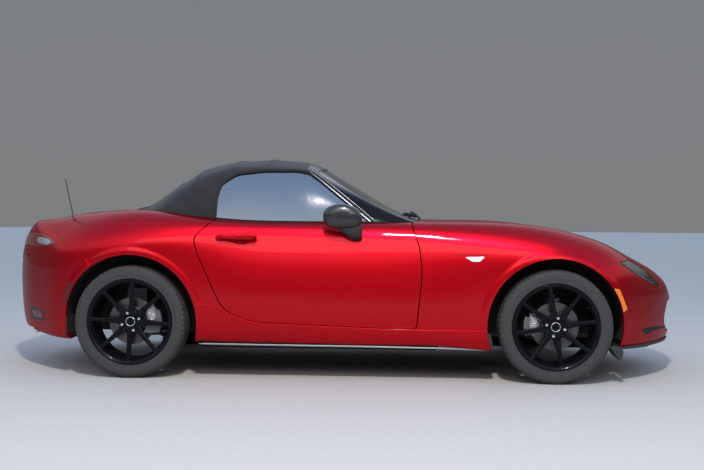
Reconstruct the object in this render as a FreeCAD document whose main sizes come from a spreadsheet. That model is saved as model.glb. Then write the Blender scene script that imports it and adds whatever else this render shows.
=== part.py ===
import FreeCAD, Part
import Sketcher
import math
import os

V = FreeCAD.Vector
doc = FreeCAD.newDocument("convertible")

# Driving dimensions, millimetres and degrees. The frame is +X forward, +Y left, +Z up,
# with the origin on the ground under the middle of the body's length.
SIZES = [
    ("BodyLength", 3915), ("Wheelbase", 2310), ("FrontAxleX", 1202.5),
    ("FrontTrack", 1496), ("RearTrack", 1503),
    ("TyreRadius", 308), ("TyreWidth", 205), ("RimRadius", 216),
    ("ArchRadius", 368), ("LinerThick", 5), ("SkinThick", 12),
    ("ShutGap", 6), ("DoorInnerY", 700), ("DoorSkew", 0.12),
    ("SillTopZ", 286), ("FloorZ", 150), ("SheetThick", 8),
    ("TunnelHalf", 125), ("TunnelTopZ", 420), ("CabinHalf", 640),
    ("SeatY", 380), ("SeatWidth", 470), ("ClothThick", 14), ("GlassThick", 5),
    ("KingpinOffset", 58), ("RotorRadius", 129), ("StubRadius", 22),
    ("FlangeRadius", 233.5), ("SpokeCount", 8),
    ("EngineLength", 490), ("EngineWidth", 340), ("EngineHeight", 340),
    ("TankLength", 130), ("TankWidth", 960), ("TankHeight", 265),
    ("RadiatorWidth", 660), ("RadiatorHeight", 300), ("RadiatorThick", 40),
    ("SteerX", 40), ("SteerY", 370), ("SteerZ", 735), ("SteerRake", 24), ("SteerRadius", 183),
    ("PipeRadius", 26), ("ShaftRadius", 30),
]
sheet = doc.addObject("Spreadsheet::Sheet", "Sizes")
for row, (alias, value) in enumerate(SIZES, start=1):
    sheet.set("A%d" % row, alias)
    sheet.set("B%d" % row, str(value))
    sheet.setAlias("B%d" % row, alias)
doc.recompute()


def size(alias):
    return float(getattr(sheet, alias))


SKIN = size("SkinThick")
GAP = size("ShutGap")
FX = size("FrontAxleX")
RX = FX - size("Wheelbase")
TR = size("TyreRadius")
ARCH = size("ArchRadius")
FLOOR = size("FloorZ")
WALL = size("SheetThick")
CABIN = size("CabinHalf")
TUNNEL = size("TunnelHalf")
FY = size("FrontTrack") / 2
RY = size("RearTrack") / 2

# Body sections from nose to tail. Columns: x, then half width and height of the under
# edge, the lower flank, the widest line, the shoulder and the wing crest, then the height
# on the centre line.
BODY = [
    (1957.5, 45, 308, 62, 325, 70, 345, 62, 366, 40, 384, 389),
    (1946, 150, 232, 195, 285, 205, 360, 190, 430, 125, 478, 490),
    (1882, 300, 180, 352, 260, 360, 395, 338, 490, 238, 545, 559),
    (1780, 480, 168, 525, 250, 536, 420, 505, 530, 390, 603, 625),
    (1650, 640, 165, 690, 250, 705, 430, 672, 572, 540, 662, 695),
    (1520, 745, 162, 800, 250, 820, 445, 790, 620, 635, 728, 752),
    (1380, 790, 160, 835, 255, 850, 480, 828, 668, 665, 780, 788),
    (1190, 800, 160, 845, 260, 862, 520, 842, 718, 680, 827, 820),
    (950, 800, 165, 842, 262, 855, 540, 832, 740, 695, 852, 838),
    (650, 795, 190, 838, 280, 842, 560, 812, 755, 705, 858, 850),
    (300, 795, 195, 840, 300, 840, 570, 805, 765, 715, 858, 860),
    (-150, 795, 197, 842, 305, 842, 585, 805, 775, 722, 857, 862),
    (-550, 795, 200, 845, 315, 848, 600, 815, 785, 728, 864, 870),
    (-820, 795, 203, 848, 330, 858, 620, 838, 790, 722, 888, 888),
    (-1120, 795, 200, 850, 330, 864, 620, 843, 785, 690, 904, 905),
    (-1350, 780, 200, 832, 330, 850, 610, 812, 775, 620, 891, 904),
    (-1520, 725, 203, 765, 330, 775, 600, 728, 750, 560, 868, 889),
    (-1660, 590, 210, 628, 330, 640, 600, 600, 745, 505, 843, 866),
    (-1780, 445, 220, 485, 335, 492, 605, 455, 735, 385, 832, 846),
    (-1875, 290, 250, 326, 360, 333, 590, 310, 690, 245, 770, 796),
    (-1935, 150, 380, 185, 450, 192, 565, 180, 630, 130, 680, 692),
    (-1957.5, 60, 520, 80, 540, 86, 560, 80, 580, 55, 594, 598),
]

# Greenhouse sections from cowl to deck, for the soft top, the glass and the windscreen.
# Columns: x, then half width and height at the belt, two side points, the roof corner and
# the roof quarter, then the height on the centre line.
ROOF = [
    (480, 690, 756, 688, 843, 680, 851, 650, 859, 330, 868, 871),
    (430, 702, 756, 696, 849, 684, 860, 655, 870, 330, 885, 891),
    (300, 710, 758, 694, 868, 668, 898, 634, 918, 325, 938, 946),
    (120, 713, 760, 678, 905, 644, 962, 600, 1000, 315, 1036, 1049),
    (-60, 715, 762, 668, 935, 618, 1045, 566, 1092, 305, 1138, 1153),
    (-160, 716, 763, 668, 948, 604, 1090, 545, 1146, 300, 1190, 1203),
    (-250, 717, 764, 668, 956, 600, 1106, 538, 1162, 300, 1208, 1221),
    (-400, 718, 765, 668, 960, 599, 1114, 534, 1170, 300, 1215, 1228),
    (-560, 718, 768, 668, 961, 599, 1112, 530, 1167, 295, 1208, 1222),
    (-680, 716, 770, 668, 958, 598, 1095, 524, 1147, 290, 1192, 1206),
    (-780, 708, 773, 664, 947, 595, 1063, 515, 1113, 285, 1163, 1177),
    (-900, 694, 778, 655, 925, 588, 1003, 505, 1048, 280, 1096, 1111),
    (-1000, 678, 784, 642, 907, 578, 946, 497, 978, 275, 1020, 1034),
    (-1100, 655, 792, 622, 890, 564, 904, 488, 920, 270, 954, 966),
    (-1200, 620, 800, 590, 888, 540, 894, 468, 903, 262, 923, 931),
    (-1295, 560, 798, 530, 886, 490, 892, 440, 897, 250, 905, 908),
]


def eliminate(matrix, columns):
    n = len(matrix)
    rows = [list(map(float, matrix[i])) + list(map(float, columns[i])) for i in range(n)]
    for c in range(n):
        pivot = max(range(c, n), key=lambda r: abs(rows[r][c]))
        rows[c], rows[pivot] = rows[pivot], rows[c]
        lead = rows[c][c]
        rows[c] = [x / lead for x in rows[c]]
        for r in range(n):
            factor = rows[r][c]
            if r != c and factor:
                rows[r] = [a - factor * b for a, b in zip(rows[r], rows[c])]
    return [row[n:] for row in rows]


def knot_line(t):
    inner = [sum(t[j:j + 3]) / 3 for j in range(1, len(t) - 3)]
    return [0.0] * 4 + inner + [1.0] * 4


def weights(knots, count, u):
    if u >= 1.0:
        return [0.0] * (count - 1) + [1.0]
    N = [1.0 if knots[i] <= u < knots[i + 1] else 0.0 for i in range(len(knots) - 1)]
    for k in range(1, 4):
        M = []
        for i in range(len(N) - 1):
            a = b = 0.0
            if knots[i + k] > knots[i]:
                a = (u - knots[i]) / (knots[i + k] - knots[i]) * N[i]
            if knots[i + k + 1] > knots[i + 1]:
                b = (knots[i + k + 1] - u) / (knots[i + k + 1] - knots[i + 1]) * N[i + 1]
            M.append(a + b)
        N = M
    return N[:count]


def spacing(grid):
    t = [0.0] * len(grid)
    for j in range(len(grid[0])):
        steps = [math.sqrt((grid[i][j] - grid[i - 1][j]).Length) for i in range(1, len(grid))]
        total = 0.0
        for i in range(1, len(grid)):
            total += steps[i - 1]
            t[i] += total / sum(steps) / len(grid[0])
    t[-1] = 1.0
    return t


def smooth_surface(grid, like=None):
    like = like or grid
    turned = [[like[i][j] for i in range(len(like))] for j in range(len(like[0]))]
    tu = spacing(like)
    tv = spacing(turned)
    ku = knot_line(tu)
    kv = knot_line(tv)
    rows = [weights(ku, len(tu), u) for u in tu]
    cols = [weights(kv, len(tv), v) for v in tv]
    flat = [sum([[p.x, p.y, p.z] for p in line], []) for line in grid]
    half = eliminate(rows, flat)
    poles = []
    for line in half:
        solved = eliminate(cols, [line[3 * j:3 * j + 3] for j in range(len(tv))])
        poles.append([V(*p) for p in solved])
    us = sorted(set(ku))
    vs = sorted(set(kv))
    face = Part.BSplineSurface()
    face.buildFromPolesMultsKnots(poles, [ku.count(k) for k in us], [kv.count(k) for k in vs],
                                  us, vs, False, False, 3, 3)
    return face, tu, tv


def sections(table):
    grid = []
    for line in table:
        x = line[0]
        half = [(line[i], line[i + 1]) for i in range(1, len(line) - 1, 2)]
        top = line[-1]
        ye, ze = half[-1]
        half += [(0.5 * ye, 0.5 * (ze + top) + 0.12 * (top - ze)), (0.0, top)]
        right = [V(x, -y, z) for y, z in half]
        left = [V(x, y, z) for y, z in half[-2::-1]]
        grid.append(right + left)
    return grid


def inset(grid, depth):
    face, tu, tv = smooth_surface(grid)
    last = len(grid) - 1
    out = []
    for i, line in enumerate(grid):
        moved = []
        centre = V(line[0].x, 0, 0.5 * (line[0].z + line[len(line) // 2].z))
        for j, p in enumerate(line):
            n = face.normal(tu[i], tv[j])
            if n.dot(p - centre) < 0:
                n = -n
            if i in (0, last):
                q = p - V(0, n.y, n.z) * depth
                q.x = p.x + (depth if i == last else -depth)
            else:
                q = p - n * depth
            moved.append(q)
        out.append(moved)
    return out


def skin_solid(grid, depth=0.0):
    moved = inset(grid, depth) if depth else grid
    face = smooth_surface(moved, grid)[0].toShape()
    ends = [e for e in face.Edges if e.BoundBox.XLength < 1e-3]
    runs = [e for e in face.Edges if e.BoundBox.XLength >= 1e-3]
    faces = [face, Part.makeRuledSurface(runs[0], runs[1])]
    for e in ends:
        chord = Part.makeLine(e.Vertexes[-1].Point, e.Vertexes[0].Point)
        faces.append(Part.Face(Part.Wire([e, chord])))
    solid = Part.makeSolid(Part.makeShell(faces))
    if solid.Volume < 0:
        solid.reverse()
    return solid


def loop(points):
    """Closed wire in (u, w) from corners (u, w, radius)."""
    n = len(points)
    cut = []
    for i in range(n):
        a = V(points[i - 1][0], points[i - 1][1], 0)
        b = V(points[i][0], points[i][1], 0)
        c = V(points[(i + 1) % n][0], points[(i + 1) % n][1], 0)
        r = points[i][2] if len(points[i]) > 2 else 0
        if not r:
            cut.append((b, None, b))
            continue
        d1 = (a - b).normalize()
        d2 = (c - b).normalize()
        half = math.acos(max(-1, min(1, d1.dot(d2)))) / 2
        back = r / math.tan(half)
        mid = (d1 + d2).normalize()
        centre = b + mid * (r / math.sin(half))
        cut.append((b + d1 * back, centre - mid * r, b + d2 * back))
    edges = []
    for i in range(n):
        start, middle, end = cut[i]
        if middle is not None:
            edges.append(Part.Arc(start, middle, end).toShape())
        following = cut[(i + 1) % n][0]
        if (following - end).Length > 1e-6:
            edges.append(Part.makeLine(end, following))
    return Part.Wire(edges)


def grown(wire, amount):
    return wire if not amount else wire.makeOffset2D(amount)


def side_prism(points, y0, y1, grow=0.0, skew=0.0, ref=0.0):
    """Outline in the side view (x, z), carried from y0 to y1."""
    face = Part.Face(grown(loop(points), grow))
    face.rotate(V(0, 0, 0), V(1, 0, 0), 90)
    face.translate(V(-skew * abs(y0 - ref), y0, 0))
    return face.extrude(V(skew * abs(y1 - y0), y1 - y0, 0))


def plan_prism(points, z0, z1, grow=0.0):
    face = Part.Face(grown(loop(points), grow))
    face.translate(V(0, 0, z0))
    return face.extrude(V(0, 0, z1 - z0))


def front_prism(points, x0, x1, grow=0.0):
    """Outline in the front view (y, z), carried from x0 to x1."""
    face = Part.Face(grown(loop(points), grow))
    face.rotate(V(0, 0, 0), V(1, 0, 0), 90)
    face.rotate(V(0, 0, 0), V(0, 0, 1), 90)
    face.translate(V(x0, 0, 0))
    return face.extrude(V(x1 - x0, 0, 0))


def box(x0, x1, y0, y1, z0, z1):
    return Part.makeBox(x1 - x0, y1 - y0, z1 - z0, V(x0, y0, z0))


def rod(p, q, r):
    p = V(*p)
    q = V(*q)
    return Part.makeCylinder(r, (q - p).Length, p, q - p)


def ring_y(x, y0, y1, z, r_out, r_in=0.0):
    solid = Part.makeCylinder(r_out, abs(y1 - y0), V(x, min(y0, y1), z), V(0, 1, 0))
    if r_in:
        solid = solid.cut(Part.makeCylinder(r_in, abs(y1 - y0) + 2, V(x, min(y0, y1) - 1, z), V(0, 1, 0)))
    return solid


def mirrored(shape):
    return shape.mirror(V(0, 0, 0), V(0, 1, 0))


def fused(shapes):
    solid = shapes[0]
    if len(shapes) > 1:
        solid = shapes[0].multiFuse(shapes[1:])
    return solid.removeSplitter()


def both(shape):
    return Part.makeCompound(list(shape.Solids) + list(mirrored(shape).Solids))


def piece(name, shape):
    feature = doc.addObject("Part::Feature", name)
    if shape.ShapeType == "Compound" and len(shape.Solids) == 1:
        shape = shape.Solids[0]
    feature.Shape = shape
    feature.Label = name
    feature.Placement = FreeCAD.Placement()
    nodes.append(feature)
    return feature


nodes = []

body_grid = sections(BODY)
outer = skin_solid(body_grid)
inner = skin_solid(body_grid, SKIN)
inner_low = skin_solid(body_grid, 2 * SKIN)
shell = outer.cut(inner)

# Outlines that panels share. Each corner is (x, z, radius) or (x, y, radius).
DOOR = [(-642, 900), (-758, 768, 45), (-736, 690, 200), (-590, 378, 150), (-430, 319, 300),
        (300, 292, 1500), (452, 293, 12), (482, 590, 500), (462, 730, 200), (392, 900)]
BONNET_REAR = 452
BONNET = [(452, -640, 25), (700, -638, 900), (1200, -607, 2500), (1640, -512, 600), (1800, -335, 130),
          (1868, 0, 500), (1800, 335, 130), (1640, 512, 600), (1200, 607, 2500), (700, 638, 900),
          (452, 640, 25), (520, 350, 600), (545, 0, 1200), (520, -350, 600)]
BOOT_LID = [(-1335, -452, 40), (-1600, -470, 2000), (-2000, -462), (-2000, 462), (-1600, 470, 2000),
            (-1335, 452, 40), (-1322, 0, 3000)]
SEAM = [(1413, 634), (1549, 657), (1638, 662), (1735, 608), (1850, 502)]
REAR_SEAM = [(-1347, 650), (-1440, 703), (-1600, 795), (-2020, 850)]
LAMP = [(1549, 657, 4), (1638, 661, 25), (1735, 607, 60), (1848, 503, 6), (1775, 528, 40), (1668, 584, 60)]
LID_Z = 655

door_prism = side_prism(DOOR, -900, -size("DoorInnerY"), 0, size("DoorSkew"), -848)
door_cut = side_prism(DOOR, -900, -560, GAP, size("DoorSkew"), -848)
bonnet_prism = plan_prism(BONNET, 400, 1000)
bonnet_cut = plan_prism(BONNET, 400, 1000, GAP + 2.5)
lid_prism = plan_prism(BOOT_LID, LID_Z, 1000)
lid_cut = plan_prism(BOOT_LID, LID_Z - GAP, 1000, GAP)
front_arch = ring_y(FX, -1000, -560, TR, ARCH)
rear_arch = ring_y(RX, -1000, -560, TR, ARCH)
right = box(-2100, 2100, -1000, 0, 0, 1300)
shell_right = shell.common(right)
solid_right = outer.common(right)

# Front wings with their door posts.
wing_zone = side_prism([(380, 950), (380, 286), (FX, 286)] + SEAM + [(1850, 950)], -1000, 0)
wing = shell_right.common(wing_zone)
post = solid_right.common(box(380, 560, -1000, -672, 286, 852)).common(wing_zone)
wing = wing.cut(box(300, 640, -CABIN, 1, 500, 950))
wing = fused([wing, post]).cut(door_cut).cut(bonnet_cut).cut(front_arch)
piece("front_wings", both(wing))

# Rear quarters with the deck between them, in one welded piece.
quarter_zone = side_prism([(-560, 1000), (-560, 286), (RX, 286)] + REAR_SEAM + [(-2020, 1000)], -1000, 0)
quarter = shell_right.common(quarter_zone)
rear_post = solid_right.common(box(-830, -560, -1000, -672, 286, 852)).common(quarter_zone)
quarter = fused([quarter, rear_post])
quarter = quarter.cut(door_cut).cut(rear_arch).cut(lid_cut)
quarter = quarter.cut(plan_prism([(-500, -700), (-500, 10), (-1290, 10), (-1290, -470, 60), (-900, -660, 60),
                                  (-860, -700)], 700, 1000))
quarters = fused([quarter, mirrored(quarter)])
piece("rear_quarters", quarters)

# Sills.
sill_zone = side_prism([(RX, 150), (RX, 286), (-560, 286), (-560, 332), (380, 332), (380, 286),
                        (FX, 286), (FX, 150)], -1000, 0)
sill = solid_right.common(sill_zone).common(box(-1200, 1300, -1000, -CABIN, 0, 400))
sill = sill.cut(door_cut).cut(front_arch).cut(rear_arch)
piece("sills", both(sill))

# Bumpers.
MOUTH = [(-330, 236, 45), (330, 236, 45), (372, 330, 40), (300, 418, 60), (-300, 418, 60), (-372, 330, 40)]
bumper_zone = side_prism([(FX, 100), (FX, 286)] + SEAM + [(1850, 950), (2050, 950), (2050, 100)], -1000, 1000)
lamp_cut = side_prism(LAMP, -1000, -380, 0.5)
front_bumper = shell.common(bumper_zone).cut(bonnet_cut).cut(front_prism(MOUTH, 1600, 2100))
front_bumper = front_bumper.cut(lamp_cut).cut(mirrored(lamp_cut)).cut(front_arch).cut(mirrored(front_arch))
front_bumper = front_bumper.cut(box(1100, 1995, -900, 900, 0, 200))
piece("front_bumper", front_bumper)
PLATE = [(-275, 500, 20), (275, 500, 20), (265, 628, 20), (-265, 628, 20)]
rear_zone = side_prism([(RX, 100), (RX, 286)] + REAR_SEAM + [(-2020, 100)], -1000, 1000)
TAIL = [(-1640, 742, 12), (-1700, 776, 20), (-1900, 776), (-1900, 716), (-1700, 716, 20)]
tail_zone = side_prism(TAIL, -1000, -478)
rear_bumper = shell.common(rear_zone).cut(lid_cut).cut(rear_arch).cut(mirrored(rear_arch))
rear_bumper = rear_bumper.cut(front_prism(PLATE, -2100, -1800))
rear_bumper = rear_bumper.cut(tail_zone).cut(mirrored(tail_zone)).cut(box(-2000, -1000, -600, 600, 0, 232))
rear_bumper = fused([rear_bumper, front_prism(PLATE, -1925, -1905, 8).common(outer)])
piece("rear_bumper", rear_bumper)

# Lamps.
lamp_body = side_prism(LAMP, -1000, -380)
lens = shell_right.common(lamp_body)
thin = skin_solid(body_grid, 5)
lens = lens.cut(thin)
piece("headlamp_lenses", both(lens))
cavity = lamp_body.cut(skin_solid(body_grid, 60))
bucket = inner.common(side_prism(LAMP, -1000, -376, 6)).common(right)
bucket = bucket.cut(skin_solid(body_grid, 66)).cut(cavity).cut(bonnet_cut)
piece("headlamp_housings", both(bucket))
tail_lamp = shell_right.common(tail_zone).cut(skin_solid(body_grid, 9))
piece("tail_lamps", both(tail_lamp))

# Front mouth: a recessed mesh of slats with uprights.
slats = []
for k in range(6):
    slats.append(box(1850, 1872, -372, 372, 246 + 29 * k, 254 + 29 * k))
for k in range(-4, 5):
    slats.append(box(1852, 1866, 82 * k - 4, 82 * k + 4, 230, 424))
frame_ring = front_prism(MOUTH, 1846, 1878, -1).cut(front_prism(MOUTH, 1840, 1880, -14))
mesh = fused(slats).common(front_prism(MOUTH, 1840, 1880, -10)).common(inner)
grille = fused([mesh, frame_ring.common(inner)])
piece("grille", grille)

# Chin lip under the front bumper, carried round to the wheel openings.
grown_hull = skin_solid(body_grid, -9)
lip = grown_hull.common(box(1545, 1995, -900, 900, 185, 200)).cut(inner_low.common(box(1400, 1990, -900, 900, 0, 400)))
deflectors = [box(1545, 1560, -780, -560, 150, 200), box(1545, 1560, 560, 780, 150, 200)]
piece("chin_lip", fused([lip] + deflectors))

# Doors.
door = solid_right.common(door_prism)
slot = box(-700, 300, -722, -706, 700, 900)
HANDLE = [(-640, 776, 8), (-560, 790, 60), (-430, 799, 20), (-408, 782, 10), (-430, 765, 20), (-560, 764, 60)]
handle = side_prism(HANDLE, -858, -842)
handle_foot = side_prism([(-636, 768, 8), (-636, 784, 8), (-600, 790, 4), (-600, 764, 4)], -856, -800)
handle_foot2 = side_prism([(-442, 768, 4), (-442, 796, 4), (-416, 790, 8), (-416, 772, 8)], -856, -800)
cup_radius = 80.0
cup = Part.makeSphere(cup_radius, V(-500, -812 - cup_radius, 772))
door = door.cut(slot).cut(cup)
door = fused([door, handle, handle_foot, handle_foot2])
piece("door_right", door)
piece("door_left", mirrored(door))

# Greenhouse.
roof_grid = sections(ROOF)
roof = skin_solid(roof_grid)
roof_in = skin_solid(roof_grid, size("ClothThick"))
roof_mid = skin_solid(roof_grid, 6)
roof_glass = skin_solid(roof_grid, 6 + size("GlassThick"))
roof_deep = skin_solid(roof_grid, 24)
WINDOW = [(-662, 820), (-658, 985, 60), (-636, 1070, 70), (-560, 1122, 120), (-400, 1142, 400),
          (-215, 1143, 60), (-150, 1130, 60), (200, 850, 0), (236, 820)]
window = side_prism(WINDOW, -1000, -300)
window_cut = side_prism(WINDOW, -1000, -300, GAP)
glass = roof_mid.common(side_prism(WINDOW, -1000, -300, -1)).cut(roof_glass).common(box(-700, 300, -1000, 0, 700, 1300))
glass = glass.common(box(-700, 300, -1000, 0, 780, 1300)).common(box(-700, 300, -1000, 0, 700, 1300))
glass = glass.cut(door)
piece("door_glass_right", glass)
piece("door_glass_left", mirrored(glass))

SCREEN = [(-112, -500, 60), (95, -560, 3000), (415, -632, 60), (476, -300, 600), (492, 0, 900), (476, 300, 600),
          (415, 632, 60), (95, 560, 3000), (-112, 500, 60), (-90, 0, 3000)]
top_line = side_prism([(-168, 700), (-168, 1300), (600, 1300), (600, 700)], -900, 900)
frame = roof.cut(roof_deep).common(top_line).cut(plan_prism(SCREEN, 700, 1300))
frame = frame.cut(window_cut).cut(mirrored(window_cut)).cut(outer).cut(plan_prism(BONNET, 700, 1300, GAP + 2.5))
for side in (-1, 1):
    frame = frame.cut(box(100, 410, min(side * 694, side * 900), max(side * 694, side * 900), 800, 866))
keep = [s for s in frame.Solids if s.Volume > 2e4]
piece("windscreen_frame", keep[0] if len(keep) == 1 else Part.makeCompound(keep))
screen = roof_mid.cut(roof_glass).common(plan_prism(SCREEN, 700, 1300, -0.2)).common(top_line).cut(outer)
piece("windscreen", screen)

REAR_GLASS = [(-935, -300, 50), (-1185, -360, 60), (-1185, 360, 60), (-935, 300, 50)]
cloth_line = side_prism([(-168, 700), (-168, 1300), (-1400, 1300), (-1400, 700)], -900, 900)
cloth = roof.cut(roof_in).common(cloth_line)
cloth = cloth.cut(window_cut).cut(mirrored(window_cut)).cut(plan_prism(REAR_GLASS, 700, 1300)).cut(outer)
for side in (-1, 1):
    cloth = cloth.cut(box(-690, -600, min(side * 690, side * 900), max(side * 690, side * 900), 800, 874))
keep = [s for s in cloth.Solids if s.Volume > 2e4]
piece("soft_top", keep[0] if len(keep) == 1 else Part.makeCompound(keep))
rear_glass = roof_mid.cut(roof_glass).common(plan_prism(REAR_GLASS, 700, 1300, -0.3))
piece("rear_window", max(rear_glass.Solids, key=lambda s: s.Volume))

# Lids.
bonnet = shell.common(bonnet_prism)
bonnet = [s for s in bonnet.Solids if s.CenterOfMass.z > 500][0]
piece("bonnet", bonnet)
lid = shell.common(lid_prism)
piece("boot_lid", lid)

# Cabin tub: floor, tunnel, bulkheads, shelf and cowl in one welded piece.
profile = side_prism([(-868, FLOOR), (565, FLOOR), (662, 328), (662, 742), (640, 742), (640, 734),
                      (654, 734), (654, 331), (561, FLOOR + WALL), (-860, FLOOR + WALL), (-860, 642),
                      (-1292, 682), (-1292, 674), (-868, 634)], -CABIN, CABIN)
profile = profile.cut(box(-1400, -742, -CABIN - 1, -585, 0, 800)).cut(box(-1400, -742, 585, CABIN + 1, 0, 800))
profile = profile.cut(box(-900, 700, -TUNNEL, TUNNEL, 0, size("TunnelTopZ") - WALL))
tunnel = box(-868, 662, -TUNNEL - WALL, TUNNEL + WALL, FLOOR, size("TunnelTopZ"))
tunnel = tunnel.cut(box(-900, 700, -TUNNEL, TUNNEL, 0, size("TunnelTopZ") - WALL))
side_wall = [box(-733, 520, -CABIN, -CABIN + 20, FLOOR, 350), box(-733, 520, CABIN - 20, CABIN, FLOOR, 350)]
cowl = side_prism([(400, 820), (604, 820), (604, 742), (662, 734), (662, 742), (612, 750), (612, 828), (400, 828)],
                  -CABIN, CABIN)
hoops = []
for side in (-1, 1):
    for dy in (-120, 120):
        hoops.append(rod((-905, side * 330 + dy, 640), (-905, side * 330 + dy, 900), 19))
    arc = Part.makeTorus(120, 19, V(-905, side * 330, 900), V(1, 0, 0), 0, 360, 360)
    hoops.append(arc.common(box(-1000, -800, side * 330 - 150, side * 330 + 150, 900, 1100)))
rails = [box(654, 1690, 345, 385, 380, 450), box(654, 1690, -385, -345, 380, 450)]
tub = fused([profile, tunnel] + side_wall + [cowl] + hoops + rails)
piece("cabin_tub", tub)

# Wheel-arch liners, open below towards the suspension.
liners = []
for axle, inner_y in ((FX, 470), (RX, 590)):
    t = size("LinerThick")
    drum = ring_y(axle, -845, -inner_y, TR, ARCH + t, ARCH)
    drum = drum.cut(box(axle - 500, axle + 500, -1000, 0, 0, 232))
    disc = ring_y(axle, -inner_y - 0.0, -inner_y + t, TR, ARCH + t)
    disc = disc.cut(box(axle - 500, axle + 500, -1000, 0, 0, 232)).cut(box(axle - 260, axle + 260, -1000, 0, 0, 560))
    liners.append(fused([drum, disc]).common(inner))
liner_pair = Part.makeCompound([s for l in liners for s in l.Solids])
liner_pair = liner_pair.cut(sill).cut(wing).cut(quarter)
liner_list = [s for s in liner_pair.Solids if s.Volume > 1e5]
piece("arch_liners", Part.makeCompound(liner_list + [mirrored(s) for s in liner_list]))

# Interior.
dash = side_prism([(392, 820), (205, 836, 30), (165, 812, 20), (160, 760, 30), (200, 640, 30), (262, 560, 20),
                   (420, 540, 20), (632, 640), (632, 730), (600, 730), (600, 820)], -CABIN + 2, CABIN - 2)
console = box(-560, 262, -95, 95, size("TunnelTopZ"), 500)
console = fused([console, side_prism([(100, 500), (262, 500), (262, 600), (200, 600)], -95, 95)])
lever = fused([rod((-60, 0, 500), (-75, 0, 585), 7), Part.makeSphere(22, V(-77, 0, 596))])
rake = math.radians(size("SteerRake"))
axis = V(-math.cos(rake), 0, math.sin(rake))
hub_at = V(size("SteerX"), size("SteerY"), size("SteerZ"))
shroud = Part.makeCylinder(42, 150, hub_at - axis * 190, axis)
column = Part.makeCylinder(10, 190, hub_at - axis * 190, axis)
dash = fused([dash, console, lever, shroud, column])
piece("dashboard", dash)

wheel_ring = Part.makeTorus(size("SteerRadius") - 15, 15, hub_at, axis, 0, 360, 360)
wheel_hub = Part.makeCylinder(48, 50, hub_at - axis * 30, axis)
arms = []
across = V(0, 1, 0)
down = axis.cross(across)
if down.z > 0:
    down = -down
for way in (across, -across, down):
    arms.append(Part.makeCylinder(12, size("SteerRadius") - 20, hub_at - axis * 6, way))
steering = fused([wheel_ring, wheel_hub] + arms).cut(Part.makeCylinder(10.3, 34, hub_at - axis * 31, axis))
piece("steering_wheel", steering)

seats = []
for side in (-1, 1):
    y = side * size("SeatY")
    w = size("SeatWidth") / 2
    cushion = side_prism([(-590, 200, 40), (-90, 200, 40), (-70, 360, 60), (-150, 385, 80), (-560, 330, 40)], y - w, y + w)
    back = side_prism([(-560, 260, 40), (-470, 330, 50), (-655, 860, 200), (-690, 985, 50), (-775, 985, 50),
                       (-800, 860, 100), (-680, 330, 100)], y - w + 10, y + w - 10)
    rails = fused([box(-560, -120, y - 160, y - 130, FLOOR + WALL, 205), box(-560, -120, y + 130, y + 160, FLOOR + WALL, 205)])
    seats.append(fused([cushion, back, rails]))
piece("seats", Part.makeCompound(seats))

# Boot.
boot = box(-1850, -1306, -482, 482, 380, 920).cut(box(-1844, -1312, -476, 476, 386, 940))
boot = boot.cut(box(-1860, -1840, -500, 500, 610, 940))
boot = fused([boot, box(-1904.7, -1844, -482, 482, 604, 610)]).common(inner)
boot = boot.cut(plan_prism(BOOT_LID, 300, 1000, GAP + 1).cut(inner_low))
piece("boot_tub", boot)

# Engine, gearbox, shafts, radiator and tank, from primitives that read the table of sizes.
def primitive(kind, name, at, turn=None, **values):
    item = doc.addObject(kind, name)
    for key, value in values.items():
        if isinstance(value, str):
            item.setExpression(key, value)
        else:
            setattr(item, key, value)
    item.Placement = FreeCAD.Placement(V(*at), turn or FreeCAD.Rotation())
    return item


def welded(name, items):
    whole = doc.addObject("Part::MultiFuse", name)
    whole.Shapes = items
    whole.Label = name
    doc.recompute()
    nodes.append(whole)
    return whole


BLOCK_X = 690
crankcase = primitive("Part::Box", "crankcase", (BLOCK_X, -size("EngineWidth") / 2, 300), Length="Sizes.EngineLength",
                      Width="Sizes.EngineWidth", Height="Sizes.EngineHeight")
cover = primitive("Part::Box", "cam_cover", (BLOCK_X + 30, -130, 300 + size("EngineHeight")),
                  Length="Sizes.EngineLength - 60", Width="Sizes.EngineWidth - 80", Height=60)
sump = primitive("Part::Box", "sump", (BLOCK_X + 70, -150, 230), Length="Sizes.EngineLength - 150",
                 Width="Sizes.EngineWidth - 40", Height=70)
block = welded("engine", [crankcase, cover, sump]).Shape
rearward = FreeCAD.Rotation(V(0, 0, 1), V(-1, 0, 0))
leftward = FreeCAD.Rotation(V(0, 0, 1), V(0, 1, 0))
gearbox = primitive("Part::Cone", "gearbox", (BLOCK_X, 0, 300), rearward, Radius1=104, Radius2=70, Height=420)
prop = primitive("Part::Cylinder", "propeller_shaft", (BLOCK_X - 418, 0, 300), rearward, Radius="Sizes.ShaftRadius",
                 Height=BLOCK_X - 418 - (RX + 105))
diff = primitive("Part::Box", "differential", (RX - 102.5, -105, 215), Length=210, Width=210, Height=170)
shafts = [primitive("Part::Cylinder", "half_shaft_left", (RX, 100, TR), leftward, Radius=16, Height=RY - 213.5),
          primitive("Part::Cylinder", "half_shaft_right", (RX, 113.5 - RY, TR), leftward, Radius=16, Height=RY - 213.5)]
welded("driveline", [gearbox, prop, diff] + shafts)
core = primitive("Part::Box", "radiator_core", (1640, -size("RadiatorWidth") / 2, 240), Length="Sizes.RadiatorThick",
                 Width="Sizes.RadiatorWidth", Height="Sizes.RadiatorHeight")
fan = primitive("Part::Box", "radiator_fan", (1600, -260, 260), Length=40, Width=520, Height=260)
welded("radiator", [core, fan])
tank = primitive("Part::Box", "fuel_tank", (-998, -size("TankWidth") / 2, 345), Length="Sizes.TankLength",
                 Width="Sizes.TankWidth", Height="Sizes.TankHeight")
doc.recompute()
nodes.append(tank)

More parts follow.
